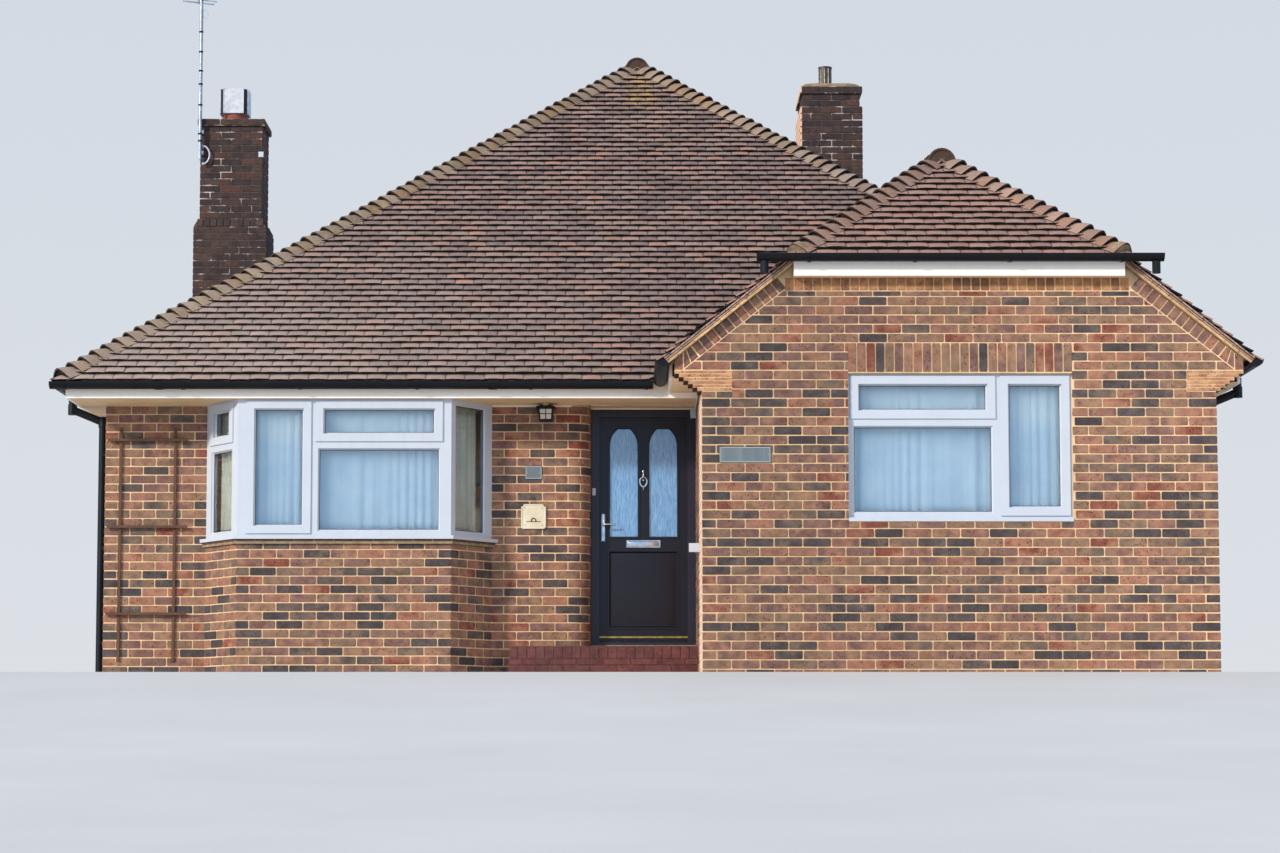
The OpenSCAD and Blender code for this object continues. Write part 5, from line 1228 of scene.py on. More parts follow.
def verge_bar(ends, inward, first, last, out, back, tone):
    """A bar along a verge, between two depths below the slope, from out in front of the wall to behind it."""
    section = ((VERGE_Y - out, first), (VERGE_Y - out, last), (VERGE_Y + back, last), (VERGE_Y + back, first))
    verge_ends.loft([[p + inward * depth + Vector((0, y, 0)) for y, depth in section] for p in ends], tone)


for side, low_x in ((1, WING_EAVE), (-1, EAVE_X)):
    way, inward = up_verge(side)
    start = Vector((low_x, 0, EAVE_Z))
    for first, last, out, length, tones in VERGE_LAYERS:
        count = round(VERGE_REACH / length)
        for i in range(count):
            ends = [start + way * (VERGE_REACH * j / count + 0.002 * k) + inward * 0.002 * dice.random()
                    for j, k in ((i, 1), (i + 1, -1))]
            verge_bar(ends, inward, first, last, out, 0.01, tones[0] + (tones[1] - tones[0]) * dice.random())
    # A dark bar behind the layers, painted shade in the gaps between them
    verge_bar((start + way * 0.002, start + way * VERGE_REACH), inward, 0.002, 0.036, 0.003, 0.004, 0.0)
verge_ends.piece("verge_tile_ends", VERGE_TILE, "roof_tile")

# The face of the wall round the door
DOOR_Y = -5.2
wing_left = Wall()
wing_left.rows((WING_X, DOOR_Y, 0), (0, -1, 0), bond(DOOR_Y - WING_Y, 0, CORBEL_Z - 0.004, (None, 1)))
wing_left.rows((WING_X, DOOR_Y, 0), (0, -1, 0), bond(DOOR_Y - corbel_high.y, CORBEL_Z + 0.006, 2.40))
wing_left.piece("bricks_wing_left", BRICK, "brick", 28)

bay_left, bay_right = edge("front_wall_left", 1, 0), edge("front_wall_right", 0, 0)
door_x = edge("front_wall_right", 1, 0)
front = Wall()
front.rows((LEFT, FRONT, 0), (1, 0, 0), bond(bay_left - LEFT, 0, SOFFIT_Z, (0, None)))
CORNER_R, RETURN = 0.16, 0.04
straight = door_x - CORNER_R - bay_right


def round_corner(u):
    """Place and outward direction beside the door, at a distance past the start of the rounded corner."""
    a = min(max(u, 0) / CORNER_R, pi / 2)
    out = Vector((sin(a), -cos(a), 0))
    middle = Vector((door_x - CORNER_R + min(u, 0), FRONT + CORNER_R + max(0, u - CORNER_R * pi / 2), 0))
    return middle + out * CORNER_R, out


bent = Solids()
for u0, u1, z0, z1, deep in bond(straight + CORNER_R * pi / 2 + RETURN, 0, SOFFIT_Z):
    if u1 <= straight:
        front.brick((bay_right, FRONT, 0), (1, 0, 0), u0, u1, z0, z1)
        continue
    count = ceil((u1 - u0) / 0.022)
    rings = []
    for i in range(count + 1):
        point, out = round_corner(u0 + (u1 - u0) * i / count - straight)
        back = 0.003 if i in (0, count) else 0.0
        section = ((-0.02, z0), (0.001 - back, z0), (PROUD - back, z0 + 0.003), (PROUD - back, z1 - 0.003),
                   (0.001 - back, z1), (-0.02, z1))
        rings.append([point + out * d + Vector((0, 0, z)) for d, z in section])
    bent.loft(rings)
bent.piece("bricks_round_corner", BRICK, "brick", smooth=40)
front.piece("bricks_main_front", BRICK, "brick", 30)

# How far the bay's canted sides come in along the front and out from it
BAY_IN, BAY_OUT = 0.325, 0.43
CANT = atan2(BAY_OUT, BAY_IN)


def bay_line(out):
    """The bay on plan, set out by a distance."""
    side, corner = -out / sin(CANT), -out * tan(CANT / 2)
    return [(bay_left + side, FRONT), (bay_left + BAY_IN + corner, FRONT - BAY_OUT - out),
            (bay_right - BAY_IN - corner, FRONT - BAY_OUT - out), (bay_right - side, FRONT)]


bay = Wall()
line = bay_line(0)
for (x0, y0), (x1, y1) in zip(line, line[1:]):
    bay.rows((x0, y0, 0), (x1 - x0, y1 - y0, 0), bond(hypot(x1 - x0, y1 - y0), 0, 1.13))
bay.piece("bricks_bay", BRICK, "brick", 32)

SIDE_WINDOWS, REAR_WINDOWS, WINDOW_HALF = (-3.24, 3.24), (-2.7675, 0, 2.7675), 0.6
HIDDEN_SILL, HIDDEN_HEAD = 1.215, 2.41


def window_gaps(middles):
    """Openings for the windows of a hidden wall, from the distances of their middles along it."""
    return [(u - WINDOW_HALF, u + WINDOW_HALF, HIDDEN_SILL, HIDDEN_HEAD) for u in middles]


hidden = Wall()
behind_stack = (REAR - 1.74 - JOINT, REAR - 1.09 + JOINT, 0, FAR)
hidden.rows((LEFT, REAR, 0), (0, -1, 0),
            bond(REAR - FRONT, 0, SOFFIT_Z, (1, 1),
                 window_gaps([REAR - y for y in SIDE_WINDOWS]) + [behind_stack]))
hidden.rows((RIGHT, REAR, 0), (-1, 0, 0),
            bond(RIGHT - LEFT, 0, SOFFIT_Z, (0, 0), window_gaps([RIGHT - x for x in REAR_WINDOWS])))
beside_corbels = (-1, corbel_high.y - WING_Y, CORBEL_Z, FAR)
hidden.rows((RIGHT, WING_Y, 0), (0, 1, 0),
            bond(REAR - WING_Y, 0, SOFFIT_Z, (1, 1),
                 window_gaps([y - WING_Y for y in SIDE_WINDOWS]) + [beside_corbels]))
hidden.piece("bricks_sides", BRICK, "brick", 34)


def shaft(wall, low, high, z0, z1, drop=lambda point: False, first=0.0):
    """All four faces of a brick shaft."""
    corners = [(low.x, low.y), (high.x, low.y), (high.x, high.y), (low.x, high.y)]
    for i, (a, b) in enumerate(zip(corners, corners[1:] + corners[:1])):
        wall.rows((a[0], a[1], 0), (b[0] - a[0], b[1] - a[1], 0),
                  bond(hypot(b[0] - a[0], b[1] - a[1]), z0, z1, (i % 2, i % 2), first=first), drop)


def indoors(point):
    """True where a brick would be inside the house or under its roof."""
    roof = EAVE_Z + (EAVE_X - abs(point.x)) * SLOPE - 0.15
    within = abs(point.x) < -LEFT - 0.02 or point.z > SOFFIT_Z
    return abs(point.x) < EAVE_X and point.z < roof and within


stack = Wall()
# Where the left stack narrows, how much on each side, and how far caps stand out
SHOULDER_Z, NECK_IN, OVER = 5.17, Vector((0.06, 0.05, 0)), Vector((0.028, 0.028, 0))
neck_low, neck_high = left_low + NECK_IN, left_high - NECK_IN
shaft(stack, left_low, left_high, 0, SHOULDER_Z, indoors)
shaft(stack, neck_low, neck_high, 5.27, 6.315, first=5.275)
shaft(stack, neck_low - OVER, neck_high + OVER, 6.32, 6.39, first=6.32)
shaft(stack, right_low, right_high, 4.0, 6.52, indoors)
shaft(stack, right_low + OVER, right_high - OVER, 6.53, 6.675, first=6.53)
shaft(stack, right_low, right_high, 6.68, 6.75, first=6.68)
stack.piece("bricks_stacks", STACK_BRICK, "dark_brick", 40)

shoulder = []
wide, deep = left_high.x - left_low.x, left_high.y - left_low.y
for x, y, way, length, lean in ((left_low.x, left_low.y, (1, 0, 0), wide, 0.05),
                                (left_high.x, left_low.y, (0, 1, 0), deep, 0.06),
                                (left_high.x, left_high.y, (-1, 0, 0), wide, 0.05),
                                (left_low.x, left_high.y, (0, -1, 0), deep, 0.06)):
    way = Vector(way)
    up = (way.cross(Vector((0, 0, -1))) * lean + Vector((0, 0, 0.1))).normalized()
    turn = Matrix((way, up.cross(way), up)).transposed().to_euler()
    count = round((length - 0.06) / BED)
    pitch = (length - 0.06) / count
    for i in range(count):
        middle = Vector((x, y, SHOULDER_Z)) + way * (0.03 + (i + 0.5) * pitch) + up * 0.056
        shoulder.append((middle, turn, (pitch - JOINT, 0.024, 0.1), dice.random()))
lay("bricks_shoulder", CORNER_BRICK, shoulder, STACK_BRICK, "dark_brick", 0.004, 46)


# Creasing tiles, corbels and step

creasing = Wall()
for row, out in ((0, 0.012), (1, 0.025)):
    line = bay_line(out)
    for (x0, y0), (x1, y1) in zip(line, line[1:]):
        length = hypot(x1 - x0, y1 - y0)
        count = max(1, round(length / 0.17))
        foot = 1.1315 + 0.02 * row
        for i in range(count):
            a, b = i * length / count + 0.003 * (row + 1), (i + 1) * length / count - 0.003
            creasing.brick((x0, y0, 0), (x1 - x0, y1 - y0, 0), a, b, foot, foot + 0.017,
                           tone=0.2 + 0.6 * dice.random())
creasing.piece("bay_creasing_tiles", CREASING_TILE, "clay", 50)

corbel_tiles = Solids()
for i in range(CORBEL_ROWS):
    foot = CORBEL_Z + i * CORBEL_ROW + 0.003
    out = (i + 1) * (WING_X - TIP) / CORBEL_ROWS
    for side, x in ((1, WING_X), (-1, RIGHT)):
        start, end = x - side * (out + 0.003), x + side * CORBEL_IN
        count = ceil(abs(end - start) / TILE_W)
        shift = 0.5 * (i % 2)
        marks = [start] + [start + side * TILE_W * (k + 1 - shift) for k in range(count)]
        marks = [m for m in marks if (end - m) * side > 0.03] + [end]
        for a, b in zip(marks, marks[1:]):
            a, b = sorted((a, b - side * 0.004))
            corbel_tiles.box((a, WING_Y - 0.004, foot), (b, WING_Y + 0.10, foot + 0.022))
corbel_tiles.piece("corbel_tile_courses", CORBEL_TILE, "clay", bevel=0.0015)

step_low, step_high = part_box("front_step")
step = Solids()
count = round((step_high.x - step_low.x + JOINT) / BED)
wide = (step_high.x - step_low.x + JOINT) / count
for i in range(count):
    x0, x1 = step_low.x + i * wide, step_low.x + (i + 1) * wide - JOINT
    step.box((x0, step_low.y - PROUD, step_high.z - END), (x1, step_low.y + 0.211, step_high.z + 0.003))
    back = FRONT if x0 < door_x - CORNER_R else DOOR_Y
    step.box((x0, step_low.y + 0.221, step_high.z - 0.05), (x1, back - 0.008, step_high.z + 0.002))
step.piece("step_bricks_on_edge", STEP_BRICK, "red_step", bevel=0.003)
under_step = Wall()
under_step.rows((step_low.x, step_low.y, 0), (1, 0, 0), bond(step_high.x - step_low.x, 0, 0.16, (0, None)))
under_step.rows((step_low.x, FRONT, 0), (0, -1, 0), bond(FRONT - step_low.y, 0, 0.16, (None, 1)))
under_step.piece("step_courses", STEP_BRICK, "red_step", 52)


# Ridges

def ridge(solids, beds, x, y0, y1, z, radius=0.1195):
    """Half-round ridge tiles in a row, with bedded joints; gives the height of their middle."""
    count = round((y1 - y0) / 0.42)
    length = (y1 - y0) / count
    middle = z - 0.060

    def half_ring(y, r):
        top = [Vector((x + r * cos(a), y, middle + r * sin(a))) for a in arc(0, pi, 12)]
        return top + [Vector((x - r * 0.86, y, middle)), Vector((x + r * 0.86, y, middle))]

    for i in range(count):
        a = y0 + i * length
        solids.loft([half_ring(a + 0.004, radius - 0.004), half_ring(a + 0.010, radius),
                     half_ring(a + length - 0.014, radius), half_ring(a + length - 0.008, radius - 0.004)])
        if i:
            beds.loft([half_ring(a - 0.010, radius - 0.007), half_ring(a + 0.010, radius - 0.007)])
    return middle


ridges, beds, ends = Solids(), Solids(), Solids()
END_DISC = [(0.0, -0.002), (0.098, -0.002), (0.103, -0.012), (0.119, -0.012), (0.119, 0.030), (0.0, 0.030)]
for x, z, y0, y1, open_end in ((0.0, RIDGE_Z, RIDGE_FRONT - 0.118, RIDGE_REAR + 0.118, True),
                               (WING_MID, WING_RIDGE_Z, WING_RIDGE_Y - 0.118, WING_JOIN_Y - 0.12, False)):
    middle = ridge(ridges, beds, x, y0, y1, z)
    ends.turned(END_DISC, (x, y0 - 0.016, middle + 0.001), 28, (0, 1, 0), 0.2)
    if open_end:
        ends.turned(END_DISC, (x, y1 + 0.016, middle + 0.001), 28, (0, -1, 0), 0.2)
ridge_piece = ridges.piece("ridge_half_rounds", HIP_TILE, "roof_tile", smooth=40)
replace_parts(ridge_piece, "ridge_tiles")
beds.piece("ridge_bedding", CEMENT, "roof_tile", smooth=40)
ends.piece("ridge_ends", RIDGE_END, "roof_tile", smooth=40)


# Windows

def islands(node):
    """The separate solids of a CAD node, each as its points."""
    work = bmesh.new()
    work.from_mesh(nodes[node].data)
    bmesh.ops.remove_doubles(work, verts=work.verts, dist=1e-6)
    seen, found = set(), []
    for first in work.verts:
        if first in seen:
            continue
        seen.add(first)
        open_ones, group = [first], []
        while open_ones:
            vert = open_ones.pop()
            group.append(vert.co.copy())
            for link in vert.link_edges:
                other = link.other_vert(vert)
                if other not in seen:
                    seen.add(other)
                    open_ones.append(other)
        found.append(group)
    work.free()
    return found


class Pane:
    """A flat pane: its middle on its outer face, the direction along it and outwards, and its size."""

    def __init__(self, points):
        plan = np.array([(p.x, p.y) for p in points])
        middle = plan.mean(0)
        along = np.linalg.svd(plan - middle)[2][0]
        out = np.array((along[1], -along[0]))
        if out @ middle < 0:
            along, out = -along, -out
        self.along, self.out = Vector((*along, 0)), Vector((*out, 0))
        self.half = abs((plan - middle) @ along).max()
        self.low, self.high = min(p.z for p in points), max(p.z for p in points)
        self.middle = Vector((*middle, 0)) + self.out * abs((plan - middle) @ out).max()

    def point(self, along, z, out):
        return self.middle + self.along * along + self.out * out + Vector((0, 0, z))

    def ring(self, solids, profile, tone=None):
        """A mitred frame round the pane; profile is (inwards from the edge, outwards from the face)."""
        solids.loft([[self.point(x * (self.half - inset), (self.low if z < 0 else self.high) - z * inset, out)
                      for inset, out in profile] for x, z in CORNERS], tone, True)


white_beads, gaskets = Solids(), Solids()
BEAD = ((-0.001, 0.0), (0.013, 0.0), (0.013, 0.003), (0.009, 0.008), (-0.001, 0.019))
for name in ("bay_window_glass", "wing_window_glass", "rear_window_glass"):
    for pane in map(Pane, islands(name)):
        pane.ring(white_beads, BEAD, 0.5)
        pane.ring(gaskets, [(0.012, 0.0), (0.017, 0.0), (0.016, 0.004), (0.012, 0.004)], 0.5)
white_beads.piece("window_beads", UPVC, "white_frame")
gaskets.piece("window_gaskets", RUBBER, "black_plastic")


# Curtains

def net_build(s):
    """White net, with painted light that brightens its head and its right end."""
    weave = s.noise(1.0, 2, 0.5, s.stretch(900, 900, 900))
    x, z = s.along(0), s.along(2)
    cloth = s.mix(s.span(s.noise(4), 0.3, 0.7), srgb(240, 246, 252), srgb(222, 234, 246))
    # Painted light at the net's head and right end
    painted_light = s.math("MAXIMUM", s.span(z, 1.95, 2.1), s.span(x, 3.3, 3.5))
    return {"Base_Color": s.mix(painted_light, cloth, (0.99, 1.0, 1.0, 1)),
            "Normal": s.bump(weave, 0.0004), "Roughness": s.span(weave, 0.3, 0.7, 0.8, 0.95)}


NET = finish_of("net_cloth", net_build, Specular_IOR_Level=0.1, Subsurface_Weight=0.0)


def drape_build(s):
    """Beige curtain cloth."""
    weave = s.noise(1.0, 2, 0.5, s.stretch(500, 500, 500))
    return {"Base_Color": s.mix(s.span(s.noise(3), 0.3, 0.7), srgb(252, 246, 226), srgb(238, 228, 202)),
            "Normal": s.bump(weave, 0.0006), "Roughness": s.span(weave, 0.3, 0.7, 0.8, 0.95)}


DRAPE = finish_of("beige_curtain_cloth", drape_build, Specular_IOR_Level=0.1)


def hung_cloth(name, line, low, high, fold, depth, finish, rests, replaced=()):
    """A curtain that hangs in folds along a line on plan; fold is the width of one fold."""
    line = [Vector((*p, 0)) for p in line]
    spans = [(b - a).length for a, b in zip(line, line[1:])]
    total = sum(spans)
    columns, rows = int(total / fold * 10), 9
    drift = 0.5 * np.sin(np.linspace(0, 9, columns + 1))
    phase = np.cumsum(1 + drift + 0.35 * dice.standard_normal(columns + 1))
    phase *= 2 * pi * total / fold / phase[-1]
    swell = 0.65 + 0.35 * np.sin(np.linspace(0, 23, columns + 1) + 1)
    points = []
    for r in range(rows + 1):
        share = r / rows
        for c in range(columns + 1):
            u = at = total * c / columns
            for a, b, span in zip(line, line[1:], spans):
                if at <= span + 1e-9:
                    break
                at -= span
            way = (b - a).normalized()
            out = Vector((way.y, -way.x, 0))
            wave = depth * swell[c] * (0.75 + 0.25 * share) * sin(phase[c] + 0.25 * share * sin(3 * u))
            points.append(a + way * at + out * wave + Vector((0, 0, high + (low - high) * share)))
    faces = [[r * (columns + 1) + c, r * (columns + 1) + c + 1, (r + 1) * (columns + 1) + c + 1,
              (r + 1) * (columns + 1) + c] for r in range(rows) for c in range(columns)]
    mesh = bpy.data.meshes.new(name)
    mesh.from_pydata(points, [], faces)
    mesh.shade_smooth()
    cloth = settle(name, mesh, finish)
    thick = cloth.modifiers.new("thickness", "SOLIDIFY")
    thick.thickness = 0.0012
    if replaced:
        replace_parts(cloth, *replaced)


# The foot and the head of the curtains, and where the wing's hangs
WING_CLOTH, BAY_CLOTH, WING_CLOTH_Y = (1.255, 2.40), (1.21, 2.355), -6.935
ends = [(wing_low.x + 0.02, WING_CLOTH_Y), (wing_high.x - 0.02, WING_CLOTH_Y)]
hung_cloth("wing_net_curtain", ends, *WING_CLOTH, 0.09, 0.011, NET, ["wing_window_frame"], ["net_curtains"])
behind = bay_line(-0.12)
hung_cloth("bay_net_curtain", behind[1:3], *BAY_CLOTH, 0.09, 0.011, NET, ["bay_window_frame"])
for name, (a, b) in (("bay_left_curtain", behind[:2]), ("bay_right_curtain", behind[2:])):
    a, b = Vector(a), Vector(b)
    hung_cloth(name, [a + (b - a) * 0.02, b - (b - a) * 0.01], *BAY_CLOTH, 0.07, 0.020, DRAPE,
               ["bay_window_frame"])


# Door

# The leaf's left edge, its outer face and its inner face
LEAF_X, LEAF_Y, INNER_Y = edge("front_door", 0, 0), -5.172, -5.128


def spread(points):
    """The least and the greatest x, then z, of some points."""
    across, high = [p.x for p in points], [p.z for p in points]
    return min(across), max(across), min(high), max(high)


def framed(x0, x1, z0, z1, profile):
    """A profile of (in from the edge, out from the leaf) at each corner of a frame on the door's face."""
    edges = {-1: (x0, z0), 1: (x1, z1)}
    return [[(edges[x][0] - x * inset, LEAF_Y - out, edges[z][1] - z * inset) for inset, out in profile]
            for x, z in CORNERS]


def field(*frame_and_steps):
    """Rings of a raised field, from its foot to its face."""
    return list(zip(*framed(*frame_and_steps)))


trim = Solids()
lights = islands("door_glass")
LIGHT_TRIM = ((-0.0075, -5.162), (-0.0075, -5.166), (0.001, -5.179), (0.001, -5.162))
for group in lights:
    x0, x1, z0, z1 = spread(group)
    middle = Vector(((x0 + x1) / 2, 0, (z0 + z1) / 2))
    outline = sorted({(round(p.x, 5), round(p.z, 5)) for p in group if p.y < -5.15},
                     key=lambda q: atan2(q[1] - (z0 + z1) / 2, q[0] - (x0 + x1) / 2))
    rings = []
    for x, z in outline:
        side = Vector((x, 0, z)) - middle
        way = Vector((side.x / (x1 - x0), 0, side.z / (z1 - z0))).normalized()
        rings.append([Vector((x, 0, z)) + way * grow + Vector((0, y, 0)) for grow, y in LIGHT_TRIM])
    trim.loft(rings, 0.5, True)
PANEL = (*spread(lights[0] + lights[1])[:2], 0.452, 1.112)
trim.loft(framed(*PANEL, ((-0.001, -0.006), (0.012, -0.006), (0.010, -0.002), (-0.001, 0.007))), 0.5, True)
trim.loft(field(*PANEL, ((0.020, -0.010), (0.020, -0.005), (0.050, 0.001))), 0.5)
trim.piece("door_mouldings", DOOR_SKIN, "dark_door", body="door", smooth=30)

bar = Solids()
x0, x1 = LEAF_X + 0.012, 0.412
bar.loft([[(x0, LEAF_Y, z), (x0, LEAF_Y - d, z), (x1, LEAF_Y - d, z), (x1, LEAF_Y, z)]
          for z, d in ((0.358, 0.0055), (0.362, 0.0075), (0.374, 0.0075), (0.378, 0.004))], 0.5)
bar.piece("door_weather_bar", BRASS, "metal", body="door")

steel = Solids()
HANDLE_X, HANDLE_Z = LEAF_X + 0.045, 1.346


def backplate(shrink):
    """Outline of the plate behind a handle, in x and z from the handle's spindle."""
    wide, low, high = 0.0165 - shrink, -0.144 + shrink, 0.096 - shrink
    return [(0.005 - wide, low), (wide - 0.005, low), (wide, low - 0.006), (wide, high - 0.006),
            (wide - 0.005, high), (0.005 - wide, high), (-wide, high - 0.006), (-wide, low - 0.006)]


# The lever's points, in x, out of the plate and in z, with its radius
LEVER = ((-0.004, 0.040, 0, 0.008), (0.012, 0.050, 0, 0.009), (0.04, 0.053, 0.001, 0.008),
         (0.09, 0.052, 0, 0.007), (0.109, 0.046, -0.001, 0.0065))
for face, out in ((LEAF_Y, -1), (INNER_Y, 1)):
    steel.loft([[(HANDLE_X + x, face + out * d, HANDLE_Z + z) for x, z in backplate(shrink)]
                for d, shrink in ((0.0, 0.0), (0.006, 0.0), (0.0088, 0.003))], 0.5)
    steel.tube([(HANDLE_X, face + out * d, HANDLE_Z) for d in (0.006, 0.044)], 0.009, 14, 0.5)
    steel.tube([(HANDLE_X + x, face + out * d, HANDLE_Z + z) for x, d, z, r in LEVER],
               [r for x, d, z, r in LEVER], 12, 0.5)
    steel.turned([(0.0, 0.0), (0.009, 0.0), (0.009, 0.004), (0.007, 0.006), (0.0, 0.006)],
                 (HANDLE_X, face + out * 0.006, HANDLE_Z - 0.085), 16, (0, out, 0), 0.5)
LETTER_X = 0.029
LETTERPLATE = (LETTER_X - 0.15, LETTER_X + 0.15, 1.144, 1.214)
steel.loft(framed(*LETTERPLATE, ((0.0, 0.0), (0.0, 0.004), (0.004, 0.009), (0.010, 0.009), (0.013, 0.005),
                                 (0.013, 0.0))), 0.5, True)
steel.loft(field(*LETTERPLATE, ((0.0135, 0.0), (0.0135, 0.004), (0.018, 0.0075))), 0.5)
KNOCK_Z = 1.731
steel.turned([(0.0, 0.0), (0.014, 0.0), (0.014, 0.008), (0.009, 0.014), (0.006, 0.022), (0.0, 0.024)],
             (LETTER_X, LEAF_Y, KNOCK_Z + 0.002), 20, (0, -1, 0), 0.5)
ring_line = [Vector((LETTER_X + 0.035 * sin(a) * (1 - 0.25 * (1 - cos(a)) / 2), LEAF_Y - 0.014,
                     KNOCK_Z - 0.012 + 0.042 * cos(a))) for a in arc(0, 2 * pi, 24)[:-1]]
rings = []
for i, point in enumerate(ring_line):
    way = (ring_line[(i + 1) % 24] - ring_line[i - 1]).normalized()
    side = way.cross(Vector((0, 1, 0))).normalized()
    thick = 0.0045 + 0.0035 * abs(sin(pi * i / 24))
    rings.append([point + side * thick * cos(b) + Vector((0, 0.005 * sin(b), 0))
                  for b in arc(0, 2 * pi, 8)[:-1]])
steel.loft(rings, 0.5, True)
steel.tube([(LETTER_X, LEAF_Y - 0.010, KNOCK_Z + z) for z in (0.086, 0.074, 0.062, 0.050, 0.034, 0.022)],
           [0.002, 0.006, 0.003, 0.008, 0.005, 0.010], 12, 0.5)
steel.tube([(LETTER_X, LEAF_Y - 0.012, KNOCK_Z + z) for z in (-0.048, -0.060, -0.068, -0.086)],
           [0.005, 0.010, 0.006, 0.002], 12, 0.5)
furniture = steel.piece("door_fittings", CHROME, "metal", body="door", smooth=40)
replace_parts(furniture, "door_furniture")


# Gutter fixings and trims

fixings = Solids()


def saddle(x, y, z, half, radius, reach):
    """A band under a gutter, open at the top, reaching some degrees each side of its foot."""
    section = ((-half, radius), (half, radius), (half, radius + 0.005), (-half, radius + 0.005))
    fixings.loft([[(x + across, y + r * cos(a), z + r * sin(a)) for across, r in section]
                  for a in (radians(-90 - reach + 2 * reach * i / 12) for i in range(13))], 0.5)


# The middles of the two front gutters, in y and z
MAIN_GUTTER, HALF_HIP_GUTTER = (-5.94, 2.493), (-7.25, 3.35)
for (y, z), brackets, reach in ((MAIN_GUTTER, (-4.87, -3.87, -2.88, -1.89, -0.93, 0.05), 80),
                                (HALF_HIP_GUTTER, (1.345, 2.19, 2.95, 3.85), 58)):
    for x in brackets:
        saddle(x, y, z, 0.011, 0.060, reach)
        fixings.box((x - 0.014, y + 0.048, z - 0.057), (x + 0.014, y + 0.061, z - 0.007))
for x in (-4.07, -1.25):
    saddle(x, *MAIN_GUTTER, 0.035, 0.0605, 84)
fixings.piece("gutter_fixings", BLACK_PLASTIC, "black_plastic", smooth=40)

UNDER_SOFFIT = SOFFIT_Z - 0.0005
trims = Solids()
trims.box((bay_right, FRONT - 0.012, 2.347), (door_x - CORNER_R, FRONT - 0.0045, UNDER_SOFFIT))
trims.box((door_x, DOOR_Y - 0.022, 2.350), (WING_X - 0.001, DOOR_Y - 0.001, UNDER_SOFFIT))
trims.box((WING_X - 0.013, -5.864, 2.345), (WING_X - 0.0045, DOOR_Y - 0.03, UNDER_SOFFIT))
trims.piece("soffit_trims", TRIM, "white_board", bevel=0.002)


# Chimney tops and aerial fixings

dome = Solids()
# The middle of the right stack, and its flue's place on plan
stack_x, flue = (right_low.x + right_high.x) / 2, Vector((2.134, 1.525, 0))
# The mortar's heights, with how far each ring has drawn in to the flue
HEAPED = ((0.0, 6.752), (0.0, 6.776), (0.10, 6.800), (0.35, 6.826), (0.62, 6.840), (0.78, 6.846),
          (0.78, 6.752))
rings = []
for share, z in HEAPED:
    middle, ring = stack_x * (1 - share) + flue.x * share, []
    for a in [2 * pi * (i + 0.5) / 32 for i in range(32)]:
        reach = min(0.325 / max(abs(cos(a)), 1e-6), 0.42 / max(abs(sin(a)), 1e-6), 0.49) * (1 - share)
        ring.append((middle + reach * cos(a), flue.y + reach * sin(a), z))
    rings.append(ring)
dome.loft(rings, 0.5, True)
dome.piece("right_flaunching", CEMENT, "brick", smooth=50)

ribs = Solids()
flue_top = edge("right_flue", 1, 2)
for a in [2 * pi * (i + 0.25) / 10 for i in range(10)]:
    foot = flue + Vector((0.0705 * cos(a), 0.0705 * sin(a), flue_top - 0.222))
    ribs.tube([foot, foot + Vector((0, 0, 0.202))], 0.006, 8, 0.5)
ribs.piece("flue_ribs", RIB_STEEL, "metal", smooth=40)

ties = Solids()
# The mast's place on plan
MAST = (-4.8305, 1.077)
for z in (7.35, 7.125, 6.91, 6.76, 6.525, 6.2, 6.12):
    ties.turned([(0.012, 0.0), (0.024, 0.002), (0.024, 0.020), (0.012, 0.022)], (*MAST, z), 14)
ties.piece("aerial_ties", BLACK_PLASTIC, "black_plastic", smooth=40)

bracket = Solids()
loop = [(MAST[0] + 0.02 + 0.085 * cos(a), 1.098, 5.98 + 0.105 * sin(a)) for a in arc(-pi / 2, pi / 2, 12)]
bracket.tube(loop, 0.009, 8, 0.5)
for z in (5.895, 6.065):
    bracket.tube([(MAST[0] + 0.03, 1.098, z), (MAST[0] + 0.03, 1.142, z)], 0.007, 8, 0.5)
bracket.box((-4.187, 1.122, 5.962), (-4.133, 1.137, 6.022))
hoop = ((0.012, 7.55), (0.05, 7.50), (0.075, 7.57), (0.045, 7.62), (0.012, 7.60))
bracket.tube([(MAST[0] + x, MAST[1], z) for x, z in hoop], 0.0035, 8, 0.5)
bracket.piece("aerial_bracket", UPVC, "metal", smooth=40)


# Lantern, plates and plaque

lantern, lantern_glass, lantern_arm = Solids(), Solids(), Solids()
# The lantern's place on plan
LAMP = Vector((-0.8125, -5.505, 0))


def square_ring(half, z):
    return [LAMP + Vector((x * half, y * half, z)) for x, y in CORNERS]


# Half the lantern's width and the height, at each ring of its glass, its base and its hood
CAGE = ((0.0535, 2.222), (0.0605, 2.318))
lantern_glass.loft([square_ring(half, z) for half, z in CAGE], 0.5)
BASE = ((0.052, 2.212), (0.060, 2.215), (0.060, 2.224), (0.054, 2.226))
HOOD = ((0.064, 2.312), (0.068, 2.316), (0.084, 2.324), (0.084, 2.330), (0.046, 2.345), (0.030, 2.350))
lantern.loft([square_ring(half, z) for half, z in BASE], 0.5)
lantern.loft([square_ring(half, z) for half, z in HOOD], 0.5)
for face in range(4):
    turn = Matrix.Rotation(face * pi / 2, 3, "Z")
    for across, wide in ((-0.93, 0.0048), (0.0, 0.0034), (0.93, 0.0048)):
        section = ((-wide, -0.002), (wide, -0.002), (wide, 0.003), (-wide, 0.003))
        lantern.loft([[LAMP + turn @ Vector((across * half + x, -half - y, z)) for x, y in section]
                      for half, z in ((0.0535, 2.221), (0.0605, 2.318))], 0.5)
    section = ((-0.002, -0.003), (0.003, -0.003), (0.003, 0.003), (-0.002, 0.003))
    lantern.loft([[LAMP + turn @ Vector((x, -0.0572 - y, 2.270 + z)) for y, z in section]
                  for x in (-0.058, 0.058)], 0.5)
